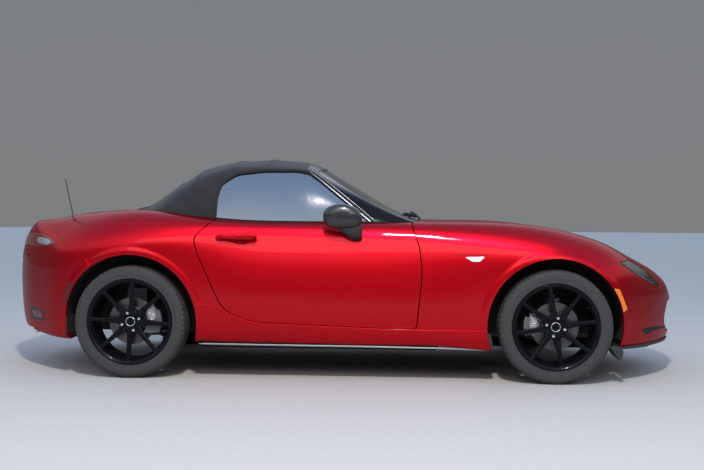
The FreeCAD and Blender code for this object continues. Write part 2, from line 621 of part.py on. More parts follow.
r_pipe = size("PipeRadius")
run = [(758, -105, 262), (700, -75, 186), (-880, -75, 186), (-1240, -150, 178), (-1490, -200, 240)]
pipe = [rod(p, q, r_pipe) for p, q in zip(run, run[1:])]
pipe += [Part.makeSphere(r_pipe, V(*p)) for p in run[1:-1]]
pipe.append(box(-1700, -1480, -430, -60, 212, 345))
tip = rod((-1690, -395, 238), (-1762, -395, 232), 38).cut(rod((-1710, -395, 238), (-1790, -395, 230), 33))
piece("exhaust", fused(pipe + [tip]).cut(block))

# Front suspension: cross-member with rails, arms and ball joints on the kingpin axis.
KY = FY - size("KingpinOffset")
LOW_Z = 200
HIGH_Z = 468
front = [box(FX - 60, FX + 60, -330, 330, 175, 225), box(FX - 420, 1690, -345, -300, 200, 240),
         box(FX - 420, 1690, 300, 345, 200, 240)]
for side in (-1, 1):
    low_ball = (FX, side * KY, LOW_Z)
    high_ball = (FX, side * KY, HIGH_Z)
    for dx in (-170, 60):
        front.append(rod((FX + dx, side * 320, 225), (FX, side * (KY - 6), LOW_Z), 13))
    for dx in (-110, 90):
        front.append(rod((FX + dx, side * 400, 500), (FX, side * (KY - 6), HIGH_Z), 9))
    front.append(box(FX - 130, FX + 110, min(side * 385, side * 413), max(side * 385, side * 413), 205, 520))
    front.append(Part.makeCylinder(19, 20, V(FX, side * KY, LOW_Z - 10)))
    front.append(Part.makeCylinder(17, 16, V(FX, side * KY, HIGH_Z - 8)))
    front.append(rod((FX - 20, side * 598, 212), (FX - 20, side * 512, 560), 20))
    front.append(box(FX - 62, FX + 28, min(side * 582, side * 618), max(side * 582, side * 618), 196, 216))
    front.append(box(FX - 130, FX + 110, min(side * 345, side * 413), max(side * 345, side * 413), 205, 240))
    front.append(box(FX - 60, FX - 27.5, min(side * 120, side * 160), max(side * 120, side * 160), 225, 300))
front.append(rod((FX + 115, -300, 258), (FX + 115, 300, 258), 20))
carrier = fused(front)
for side in (-1, 1):
    carrier = carrier.cut(Part.makeCylinder(8.3, 400, V(FX, side * KY, 150)))
piece("front_suspension", carrier)

# Rear suspension: frame, links and hub carriers.
rear = [box(RX - 182, RX - 132, -360, 360, 222, 262), box(RX + 108, RX + 148, -360, 360, 222, 262)]
for side in (-1, 1):
    hub = side * (RY - 101.5)
    rear.append(box(RX - 182, RX + 148, side * 360 - 22, side * 360 + 22, 222, 262))
    rear.append(rod((RX - 157, side * 360, 240), (RX - 42, hub, 222), 14))
    rear.append(rod((RX + 128, side * 360, 240), (RX + 38, hub, 228), 14))
    rear.append(rod((RX - 82, side * 340, 420), (RX - 22, hub, 450), 12))
    rear.append(box(RX - 107, RX - 57, side * 340 - 20, side * 340 + 20, 240, 440))
    rear.append(box(RX - 52, RX + 53, hub + side * 2 - 14, hub + side * 2 + 14, 200, 480))
    rear.append(ring_y(RX, side * (RY - 111.5), side * (RY - 6.5), TR, 42))
    rear.append(ring_y(RX, side * (RY - 11.5), side * (RY + 44.5), TR, size("StubRadius")))
    rear.append(rod((RX - 70, side * (RY - 151.5), 232), (RX - 92, side * (RY - 226.5), 625), 20))
    caliper = ring_y(RX, side * (RY - 29.5), side * (RY + 43.5), TR, 165, 88)
    caliper = caliper.cut(ring_y(RX, side * (RY - 4.5), side * (RY + 30.5), TR, size("RotorRadius") + 6))
    rear.append(caliper.common(box(RX, RX + 200, -900, 900, TR - 62, TR + 62)))
    rear.append(box(RX + 20, RX + 110, min(side * (RY - 111.5), side * (RY - 11.5)),
                    max(side * (RY - 111.5), side * (RY - 11.5)), TR - 22, TR + 22))
piece("rear_suspension", fused(rear))

# Knuckles with stub axles and calipers.
def knuckle(side):
    stem = [box(FX - 28, FX + 28, -KY - 30, -KY + 12, LOW_Z + 16, HIGH_Z - 12)]
    stem.append(ring_y(FX, -KY - 64, -KY + 4, TR, 48))
    stem.append(ring_y(FX, -FY - 48, -KY - 60, TR, size("StubRadius")))
    stem.append(Part.makeCylinder(8, HIGH_Z - LOW_Z + 24, V(FX, -KY, LOW_Z - 12)))
    caliper = ring_y(FX, -FY - 42, 30 - FY, TR, 168, 84).cut(ring_y(FX, -FY - 30, 4 - FY, TR, size("RotorRadius") + 6))
    wedge = side_prism([(FX - 30, TR), (FX - 230, TR - 82), (FX - 230, TR + 82)], -900, -600)
    stem.append(caliper.common(wedge))
    stem.append(box(FX - 110, FX - 20, 8 - FY, -KY - 10, TR - 26, TR + 26))
    stem.append(rod((FX + 20, -KY, 260), (FX + 118, -KY + 30, 254), 12))
    return fused(stem)


steer_right = knuckle(-1)
piece("knuckle_right", steer_right)
piece("knuckle_left", mirrored(steer_right))

# Wheels, each in its own body. Profiles are (offset from the wheel's middle plane, radius).
HALF = size("TyreWidth") / 2
LIPR = size("FlangeRadius")
TYRE = [(-76, 217), (-90, 218), (-90, 234), (3.5 - HALF, 244), (-HALF, 262), (1.5 - HALF, 280), (8.5 - HALF, 296),
        (20.5 - HALF, TR - 4), (-60, TR - 1), (0, TR), (60, TR - 1), (HALF - 20.5, TR - 4), (HALF - 8.5, 296),
        (HALF - 1.5, 280), (HALF, 262), (HALF - 3.5, 244),
        (90, 234), (90, 218), (76, 217), (78, 234), (90, 250), (92, 264), (90, 280), (80, 292), (0, 296),
        (-80, 292), (-90, 280), (-92, 264), (-90, 250), (-78, 234)]
BARREL = [(96.5, LIPR), (98.5, LIPR - 2), (94.5, 223), (91.5, 216), (79, 211.5), (70, 206), (30, 198.5), (-20, 196.5),
          (-55, 198), (-76, 208), (-90, 215), (-98.5, LIPR - 2), (-96.5, LIPR), (-91.5, 232), (-90.8, 217.4),
          (-76, 216.4), (-64, 210), (-50, 201), (30, 202), (60, 208), (76, 216.4), (90.8, 217.4), (91.5, 232)]
SPOKE_SIDE = [(50, 24), (100, 15), (185, 12), (203, 14), (214, 18)]
SPOKE_FACE = [(66, 60), (69, 75), (74, 100), (79.5, 130), (84, 160), (87, 185), (89, 203), (92, 224)]
SPOKE_BACK = [(36, 60), (44, 75), (50, 84), (51, 100), (53, 130), (57, 160), (61, 185), (64, 203), (74, 224)]
HUB = [(35, 0), (35, 62), (58, 63), (65, 56), (67.5, 42), (67, 30), (62, 26), (72, 24), (73, 10), (73, 0)]


def profile_on(body, role, points, label, depth=0.0):
    """Closed sketch of straight runs on one of the body's own planes."""
    plane = [item for item in body.Origin.OriginFeatures if item.Role == role][0]
    sketch = body.newObject("Sketcher::SketchObject", label)
    sketch.AttachmentSupport = (plane, [""])
    sketch.MapMode = "FlatFace"
    sketch.AttachmentOffset = FreeCAD.Placement(V(0, 0, depth), FreeCAD.Rotation())
    count = len(points)
    for i in range(count):
        a = points[i]
        b = points[(i + 1) % count]
        sketch.addGeometry(Part.LineSegment(V(a[0], a[1], 0), V(b[0], b[1], 0)), False)
    for i in range(count):
        sketch.addConstraint(Sketcher.Constraint("Coincident", i, 2, (i + 1) % count, 1))
    doc.recompute()
    return sketch


def turned(body, kind, points, label):
    """Revolution or groove of a profile about the axle, the body's Y axis."""
    sketch = profile_on(body, "YZ_Plane", points, label + "_profile")
    feature = body.newObject(kind, label)
    feature.Profile = sketch
    feature.ReferenceAxis = (sketch, ["H_Axis"])
    feature.Angle = 360
    doc.recompute()
    return feature


def wheel_body(name, x, y):
    body = doc.addObject("PartDesign::Body", name)
    body.Label = name
    doc.recompute()
    return body


def placed(body, x, y):
    facing = FreeCAD.Rotation(V(0, 0, 1), 0 if y > 0 else 180)
    body.Placement = FreeCAD.Placement(V(x, y, TR), facing)
    doc.recompute()
    nodes.append(body)


def spoke_outline():
    """Tapered spoke as (across, radius), from the axle to the barrel."""
    half = [(20, 0)] + [(w, r) for r, w in SPOKE_SIDE]
    return half + [(-w, r) for w, r in half[::-1]]


def rim_of(name, x, y):
    body = wheel_body(name, x, y)
    outline = profile_on(body, "XZ_Plane", spoke_outline(), name + "_spoke_outline", -30.0)
    pad = body.newObject("PartDesign::Pad", name + "_spoke")
    pad.Profile = outline
    pad.Length = 65
    pad.Reversed = True
    doc.recompute()
    ring = body.newObject("PartDesign::PolarPattern", name + "_spokes")
    ring.Originals = [pad]
    ring.Axis = (outline, ["N_Axis"])
    ring.Angle = 360
    ring.setExpression("Occurrences", "Sizes.SpokeCount")
    body.Tip = ring
    doc.recompute()
    turned(body, "PartDesign::Groove", [(66, 0)] + SPOKE_FACE + [(120, 224), (120, 0)], name + "_face")
    turned(body, "PartDesign::Groove", [(20, 0), (20, 224)] + SPOKE_BACK[::-1] + [(36, 0)], name + "_back")
    turned(body, "PartDesign::Revolution", BARREL, name + "_barrel")
    turned(body, "PartDesign::Revolution", HUB, name + "_hub")
    disc = size("RotorRadius")
    turned(body, "PartDesign::Revolution", [(2, 62), (2, disc), (24, disc), (24, 74), (36, 74), (36, 56), (20, 56),
                                            (20, 62)], name + "_disc")
    bore = size("StubRadius") + 0.3
    before = body.Shape.Volume
    turned(body, "PartDesign::Groove", [(-60, 0), (-60, bore), (51, bore), (51, 0)], name + "_bore")
    if body.Shape.Volume >= before:
        raise SystemExit("the bore of %s removed nothing" % name)
    placed(body, x, y)


def tyre_of(name, x, y):
    body = wheel_body(name, x, y)
    turned(body, "PartDesign::Revolution", TYRE, name + "_section")
    placed(body, x, y)


for tag, x, y in (("front_right", FX, -FY), ("front_left", FX, FY), ("rear_right", RX, -RY), ("rear_left", RX, RY)):
    tyre_of("tyre_" + tag, x, y)
    rim_of("rim_" + tag, x, y)

# Mirrors, folded back against the glass as parked.
MIRROR = [(-55, 905), (-32, 944), (38, 962), (108, 954), (150, 924), (162, 880), (140, 842), (60, 828), (-22, 850)]
MIRROR_STEPS = [(-905, 0.70), (-899, 0.86), (-885, 0.97), (-862, 1.0), (-830, 0.98), (-808, 0.93)]


def mirror_housing():
    """Shell lofted through closed smooth sections, and the foot that stands on the door."""
    cx = sum(p[0] for p in MIRROR) / len(MIRROR)
    cz = sum(p[1] for p in MIRROR) / len(MIRROR)
    rings = []
    for y, share in MIRROR_STEPS:
        curve = Part.BSplineCurve()
        curve.interpolate([V(cx + (x - cx) * share, y, cz + (z - cz) * share) for x, z in MIRROR], PeriodicFlag=True)
        rings.append(Part.Wire([curve.toShape()]))
    shell_part = Part.makeLoft(rings, True, False)
    foot = side_prism([(40, 762, 10), (165, 768, 20), (150, 850, 10), (75, 850, 10)], -880, -790)
    return fused([shell_part, foot]).cut(outer)


mirror = mirror_housing()
piece("mirror_right", mirror)
piece("mirror_left", mirrored(mirror))

mast = fused([rod((-1488, -600, 850), (-1540, -600, 1090), 3), Part.makeCone(12, 4, 30, V(-1488, -600, 850), V(-52, 0, 240))])
mast = max(mast.cut(quarters).Solids, key=lambda s: s.Volume)
mast.translate(V(0, 0, 0.4))
piece("antenna", mast)

doc.recompute()
bad = []
for feature in nodes:
    state = [s for s in feature.State if s in ("Invalid", "Error")]
    shape = feature.Shape
    if state or shape.isNull() or not shape.isValid() or not shape.Solids:
        bad.append("%s: %s solids %d" % (feature.Label, state, len(shape.Solids)))
print("faults", bad)
os.makedirs("parts", exist_ok=True)
for feature in nodes:
    feature.Shape.exportStep("parts/%s.step" % feature.Label)
    b = feature.Shape.BoundBox
    print("%-20s solids %d vol %.2f L  x %.0f..%.0f y %.0f..%.0f z %.0f..%.0f" % (
        feature.Label, len(feature.Shape.Solids), feature.Shape.Volume / 1e6,
        b.XMin, b.XMax, b.YMin, b.YMax, b.ZMin, b.ZMax))
if bad:
    raise SystemExit("faults: %s" % bad)
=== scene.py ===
import math
import bmesh
import bpy
import numpy as np
from mathutils import Matrix, Vector


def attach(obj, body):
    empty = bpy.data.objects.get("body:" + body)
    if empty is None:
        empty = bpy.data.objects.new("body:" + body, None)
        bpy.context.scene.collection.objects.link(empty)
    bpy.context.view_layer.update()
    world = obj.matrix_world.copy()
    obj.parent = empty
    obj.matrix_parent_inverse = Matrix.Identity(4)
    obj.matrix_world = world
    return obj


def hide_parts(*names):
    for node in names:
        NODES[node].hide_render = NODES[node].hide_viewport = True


# A two-seat convertible. Over the solids of the frame this script lays fine painted skins, and it adds or remakes
# tyres, wheels, cloth top, seats, lamps, trim and the parts of the cabin and engine bay.
# Metres, with X forward, Y left and Z up. Pieces that come in pairs are made on the right and mirrored.
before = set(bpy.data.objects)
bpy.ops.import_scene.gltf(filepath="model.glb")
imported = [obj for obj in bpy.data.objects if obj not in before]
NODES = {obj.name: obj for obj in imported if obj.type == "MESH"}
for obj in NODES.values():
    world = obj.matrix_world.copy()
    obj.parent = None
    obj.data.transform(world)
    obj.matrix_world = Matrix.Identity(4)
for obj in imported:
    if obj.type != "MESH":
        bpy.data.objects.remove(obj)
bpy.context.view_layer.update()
# metres: front and rear axle, wheel centre height, wheel-arch radius, wheel centres' offsets, door's inner plane
FX, RX, TR, ARCH, FRONT_Y, REAR_Y, DOOR_INSIDE = 1.2025, -1.1075, 0.308, 0.368, 0.748, 0.7515, -0.7005

# ---------------------------------------------------------------- the body's two smooth surfaces
# millimetres: x of the section, then (y, z) from the sill up to the shoulder, then the height at the middle
BODY = [
    (1957.5, 45, 308, 62, 325, 70, 345, 62, 366, 40, 384, 389),
    (1946, 150, 232, 195, 285, 205, 360, 190, 430, 125, 478, 490),
    (1882, 300, 180, 352, 260, 360, 395, 338, 490, 238, 545, 559),
    (1780, 480, 168, 525, 250, 536, 420, 505, 530, 390, 603, 625),
    (1650, 640, 165, 690, 250, 705, 430, 672, 572, 540, 662, 695),
    (1520, 745, 162, 800, 250, 820, 445, 790, 620, 635, 728, 752),
    (1380, 790, 160, 835, 255, 850, 480, 828, 668, 665, 780, 788),
    (1190, 800, 160, 845, 260, 862, 520, 842, 718, 680, 827, 820),
    (950, 800, 165, 842, 262, 855, 540, 832, 740, 695, 852, 838),
    (650, 795, 190, 838, 280, 842, 560, 812, 755, 705, 858, 850),
    (300, 795, 195, 840, 300, 840, 570, 805, 765, 715, 858, 860),
    (-150, 795, 197, 842, 305, 842, 585, 805, 775, 722, 857, 862),
    (-550, 795, 200, 845, 315, 848, 600, 815, 785, 728, 864, 870),
    (-820, 795, 203, 848, 330, 858, 620, 838, 790, 722, 888, 888),
    (-1120, 795, 200, 850, 330, 864, 620, 843, 785, 690, 904, 905),
    (-1350, 780, 200, 832, 330, 850, 610, 812, 775, 620, 891, 904),
    (-1520, 725, 203, 765, 330, 775, 600, 728, 750, 560, 868, 889),
    (-1660, 590, 210, 628, 330, 640, 600, 600, 745, 505, 843, 866),
    (-1780, 445, 220, 485, 335, 492, 605, 455, 735, 385, 832, 846),
    (-1875, 290, 250, 326, 360, 333, 590, 310, 690, 245, 770, 796),
    (-1935, 150, 380, 185, 450, 192, 565, 180, 630, 130, 680, 692),
    (-1957.5, 60, 520, 80, 540, 86, 560, 80, 580, 55, 594, 598),
]
ROOF = [
    (480, 690, 756, 688, 843, 680, 851, 650, 859, 330, 868, 871),
    (430, 702, 756, 696, 849, 684, 860, 655, 870, 330, 885, 891),
    (300, 710, 758, 694, 868, 668, 898, 634, 918, 325, 938, 946),
    (120, 713, 760, 678, 905, 644, 962, 600, 1000, 315, 1036, 1049),
    (-60, 715, 762, 668, 935, 618, 1045, 566, 1092, 305, 1138, 1153),
    (-160, 716, 763, 668, 948, 604, 1090, 545, 1146, 300, 1190, 1203),
    (-250, 717, 764, 668, 956, 600, 1106, 538, 1162, 300, 1208, 1221),
    (-400, 718, 765, 668, 960, 599, 1114, 534, 1170, 300, 1215, 1228),
    (-560, 718, 768, 668, 961, 599, 1112, 530, 1167, 295, 1208, 1222),
    (-680, 716, 770, 668, 958, 598, 1095, 524, 1147, 290, 1192, 1206),
    (-780, 708, 773, 664, 947, 595, 1063, 515, 1113, 285, 1163, 1177),
    (-900, 694, 778, 655, 925, 588, 1003, 505, 1048, 280, 1096, 1111),
    (-1000, 678, 784, 642, 907, 578, 946, 497, 978, 275, 1020, 1034),
    (-1100, 655, 792, 622, 890, 564, 904, 488, 920, 270, 954, 966),
    (-1200, 620, 800, 590, 888, 540, 894, 468, 903, 262, 923, 931),
    (-1295, 560, 798, 530, 886, 490, 892, 440, 897, 250, 905, 908),
]


def sections(table):
    """Grid of points in metres, from right to left in each section."""
    grid = []
    for line in table:
        x, top = line[0], line[-1]
        half = [(line[i], line[i + 1]) for i in range(1, len(line) - 1, 2)]
        ye, ze = half[-1]
        half += [(0.5 * ye, 0.5 * (ze + top) + 0.12 * (top - ze)), (0.0, top)]
        right = [(x, -y, z) for y, z in half]
        left = [(x, y, z) for y, z in half[-2::-1]]
        grid.append(right + left)
    return np.array(grid, float) / 1000.0


class Surface:
    """The cubic surface through a grid of points, measured along u (rows) and v (columns)."""

    def __init__(self, grid):
        self.tu = self.spacing(grid)
        self.tv = self.spacing(grid.transpose(1, 0, 2))
        self.ku, self.kv = self.knots(self.tu), self.knots(self.tv)
        rows = self.basis(self.ku, len(self.tu), self.tu)[0]
        cols = self.basis(self.kv, len(self.tv), self.tv)[0]
        n, m, _ = grid.shape
        half = np.linalg.solve(rows, grid.reshape(n, m * 3)).reshape(n, m, 3)
        poles = np.linalg.solve(cols, half.transpose(1, 0, 2).reshape(m, n * 3)).reshape(m, n, 3)
        self.poles, self.n, self.m, self.sign = poles.transpose(1, 0, 2), n, m, 1.0
        self.sign = np.sign(self.point_normal(np.array([0.5]), np.array([0.5]))[1][0, 2])

    @staticmethod
    def spacing(grid):
        steps = np.sqrt(np.linalg.norm(np.diff(grid, axis=0), axis=2))
        t = np.concatenate([[0.0], (np.cumsum(steps, axis=0) / steps.sum(axis=0)).mean(axis=1)])
        t[-1] = 1.0
        return t

    @staticmethod
    def knots(t):
        inner = [t[j:j + 3].sum() / 3 for j in range(1, len(t) - 3)]
        return np.array([0.0] * 4 + inner + [1.0] * 4)

    @staticmethod
    def basis(k, count, u):
        u = np.clip(np.asarray(u, float), 0, 1 - 1e-12)
        N = ((u[:, None] >= k[None, :-1]) & (u[:, None] < k[None, 1:])).astype(float)
        D = None
        for p in range(1, 4):
            if p == 3:
                a, b = k[3:-1] - k[:-4], k[4:] - k[1:-3]
                D = 3 * (np.divide(N[:, :-1], a, out=np.zeros_like(N[:, :-1]), where=a > 0)
                         - np.divide(N[:, 1:], b, out=np.zeros_like(N[:, 1:]), where=b > 0))
            a, b = k[p:-1] - k[:-p - 1], k[p + 1:] - k[1:-p]
            left = np.divide(u[:, None] - k[None, :-p - 1], a, out=np.zeros((len(u), len(a))), where=a > 0)
            right = np.divide(k[None, p + 1:] - u[:, None], b, out=np.zeros((len(u), len(b))), where=b > 0)
            N = left * N[:, :-1] + right * N[:, 1:]
        return N[:, :count], D[:, :count]

    def point_normal(self, u, v):
        P, N = [], []
        for s in range(0, len(u), 40000):
            bu, du = self.basis(self.ku, self.n, u[s:s + 40000])
            bv, dv = self.basis(self.kv, self.m, v[s:s + 40000])
            flat = self.poles.reshape(self.n, self.m * 3)
            A, B = (bu @ flat).reshape(-1, self.m, 3), (du @ flat).reshape(-1, self.m, 3)
            p = (A * bv[:, :, None]).sum(1)
            pu, pv = (B * bv[:, :, None]).sum(1), (A * dv[:, :, None]).sum(1)
            nn = np.cross(pu, pv)
            nn /= np.maximum(np.linalg.norm(nn, axis=1, keepdims=True), 1e-12)
            P.append(p)
            N.append(nn)
        return np.concatenate(P), np.concatenate(N) * self.sign


hull, top = Surface(sections(BODY)), Surface(sections(ROOF))


# ---------------------------------------------------------------- outlines
def outline(points, arc=9):
    """Closed outline (n, 2) in metres from corners (a, b, radius) in millimetres."""
    out, n = [], len(points)
    for i in range(n):
        a, b, c = (np.array(points[j % n][:2], float) for j in (i - 1, i, i + 1))
        r = points[i][2] if len(points[i]) > 2 else 0
        if not r:
            out.append(b)
            continue
        d1, d2 = (a - b) / np.linalg.norm(a - b), (c - b) / np.linalg.norm(c - b)
        half = math.acos(max(-1, min(1, float(d1 @ d2)))) / 2
        mid = (d1 + d2) / np.linalg.norm(d1 + d2)
        centre = b + mid * (r / math.sin(half))
        s, e = b + d1 * r / math.tan(half) - centre, b + d2 * r / math.tan(half) - centre
        turn = math.atan2(s[0] * e[1] - s[1] * e[0], float(s @ e))
        for k in range(arc + 1):
            t = turn * k / arc
            out.append(centre + np.array([s[0] * math.cos(t) - s[1] * math.sin(t),
                                          s[0] * math.sin(t) + s[1] * math.cos(t)]))
    return np.array(out) * 0.001


def inside(poly, q):
    """Signed distance of points q (n, 2), above 0 inside the closed outline."""
    a, b = poly, np.roll(poly, -1, axis=0)
    best = np.full(len(q), 1e9)
    wind = np.zeros(len(q), bool)
    for p0, p1 in zip(a, b):
        d = p1 - p0
        w = q - p0
        t = np.clip((w @ d) / max(d @ d, 1e-18), 0, 1)
        best = np.minimum(best, np.linalg.norm(w - t[:, None] * d, axis=1))
        cross = (p0[1] > q[:, 1]) != (p1[1] > q[:, 1])
        with np.errstate(divide="ignore", invalid="ignore"):
            xs = p0[0] + (q[:, 1] - p0[1]) * d[0] / d[1] if d[1] else np.full(len(q), -1e9)
        wind ^= cross & (q[:, 0] < xs)
    return np.where(wind, best, -best)


# tests of points: above 0 where a point is kept
def side(poly, grow=0.0):
    return lambda p: inside(poly, p[:, [0, 2]]) + grow


def plan(poly, grow=0.0):
    return lambda p: inside(poly, p[:, [0, 1]]) + grow


def front(poly, grow=0.0):
    return lambda p: inside(poly, p[:, [1, 2]]) + grow


def door_side(poly, grow=0.0):
    """The side view, with the shut line leaning with the flank."""
    return lambda p: inside(poly, np.stack([p[:, 0] - 0.12 * (0.848 - np.abs(p[:, 1])), p[:, 2]], 1)) + grow


def off(f):
    return lambda p: -f(p)


def round_hole(x, r):
    return lambda p: np.hypot(p[:, 0] - x, p[:, 2] - TR) - r


def half_space(axis, at, way=1.0):
    return lambda p: (p[:, axis] - at) * way


DOOR = outline([(-642, 900), (-758, 768, 45), (-736, 690, 200), (-590, 378, 150), (-430, 319, 300),
                (300, 292, 1500), (452, 293, 12), (482, 590, 500), (462, 730, 200), (392, 900)], arc=12)
BONNET = outline([(452, -640, 25), (700, -638, 900), (1200, -607, 2500), (1640, -512, 600), (1800, -335, 130),
                  (1868, 0, 500), (1800, 335, 130), (1640, 512, 600), (1200, 607, 2500), (700, 638, 900),
                  (452, 640, 25), (520, 350, 600), (545, 0, 1200), (520, -350, 600)], arc=12)
LID = outline([(-1335, -452, 40), (-1600, -470, 2000), (-2000, -462), (-2000, 462), (-1600, 470, 2000),
               (-1335, 452, 40), (-1322, 0, 3000)], arc=12)
SEAM = [(1413, 634), (1549, 657), (1638, 662), (1735, 608), (1850, 502)]
REAR_SEAM = [(-1347, 650), (-1440, 703), (-1600, 795), (-2020, 850)]
LAMP_CORNERS = [(1549, 657, 4), (1638, 661, 25), (1735, 607, 60), (1848, 503, 6), (1775, 528, 40), (1668, 584, 60)]
LAMP = outline(LAMP_CORNERS)
TAIL = outline([(-1640, 742, 12), (-1700, 776, 20), (-1900, 776), (-1900, 716), (-1700, 716, 20)])
MOUTH = outline([(-330, 236, 45), (330, 236, 45), (372, 330, 40), (300, 418, 60), (-300, 418, 60), (-372, 330, 40)])
PLATE = outline([(-275, 500, 20), (275, 500, 20), (265, 628, 20), (-265, 628, 20)])
WINDOW = outline([(-662, 820), (-658, 985, 60), (-636, 1070, 70), (-560, 1122, 120), (-400, 1142, 400),
                  (-215, 1143, 60), (-150, 1130, 60), (200, 850, 0), (236, 820)], arc=12)
REAR_GLASS_CORNERS = [(-1185, -360, 60), (-1185, 360, 60), (-935, 300, 50), (-935, -300, 50)]
REAR_GLASS = outline(REAR_GLASS_CORNERS)
WING_ZONE = outline([(380, 950), (380, 286), (1202, 286)] + SEAM + [(1850, 950)])
QUARTER_ZONE = outline([(-425, 1000), (-425, 352), (-592, 402), (-760, 419), (-1107, 419)] + REAR_SEAM +
                       [(-2020, 1000)])
DECK_HOLE = outline([(-500, -700), (-500, 700), (-860, 700), (-900, 660, 60), (-1290, 470, 60),
                     (-1290, -470, 60), (-900, -660, 60), (-860, -700)])
BUMPER_ZONE = outline([(1202, 100), (1202, 286)] + SEAM + [(1850, 950), (2050, 950), (2050, 100)])
REAR_ZONE = outline([(-1107, 100), (-1107, 286)] + REAR_SEAM + [(-2020, 100)])
SILL_ZONE = outline([(-1107, 150), (-1107, 419), (-760, 419), (-592, 402), (-425, 352), (-400, 345), (-380, 332),
                     (380, 332), (380, 286), (1202, 286), (1202, 150)])


# ---------------------------------------------------------------- sheets cut from a surface
def step(x):
    x = np.clip(x, 0, 1)
    return x * x * (3 - 2 * x)


def lips(p):
    """How far the painted surface stands off the plain form, in metres: the rolled arch lips."""
    d = np.zeros(len(p))
    for x in (FX, RX):
        r = np.hypot(p[:, 0] - x, p[:, 2] - TR)
        w = step((np.abs(p[:, 1]) - 0.70) / 0.05) * step((p[:, 2] - 0.20) / 0.06)
        d += 0.0045 * w * (1 - step((r - ARCH - 0.016) / 0.030))
    return d


def cup(p):
    """The shallow hollow behind the door handle, with the lips."""
    e = ((p[:, 0] + 0.500) / 0.060) ** 2 + ((p[:, 2] - 0.770) / 0.036) ** 2
    return lips(p) - 0.0085 * (1 - step((np.sqrt(e) - 0.35) / 0.65)) * (p[:, 1] < -0.7)


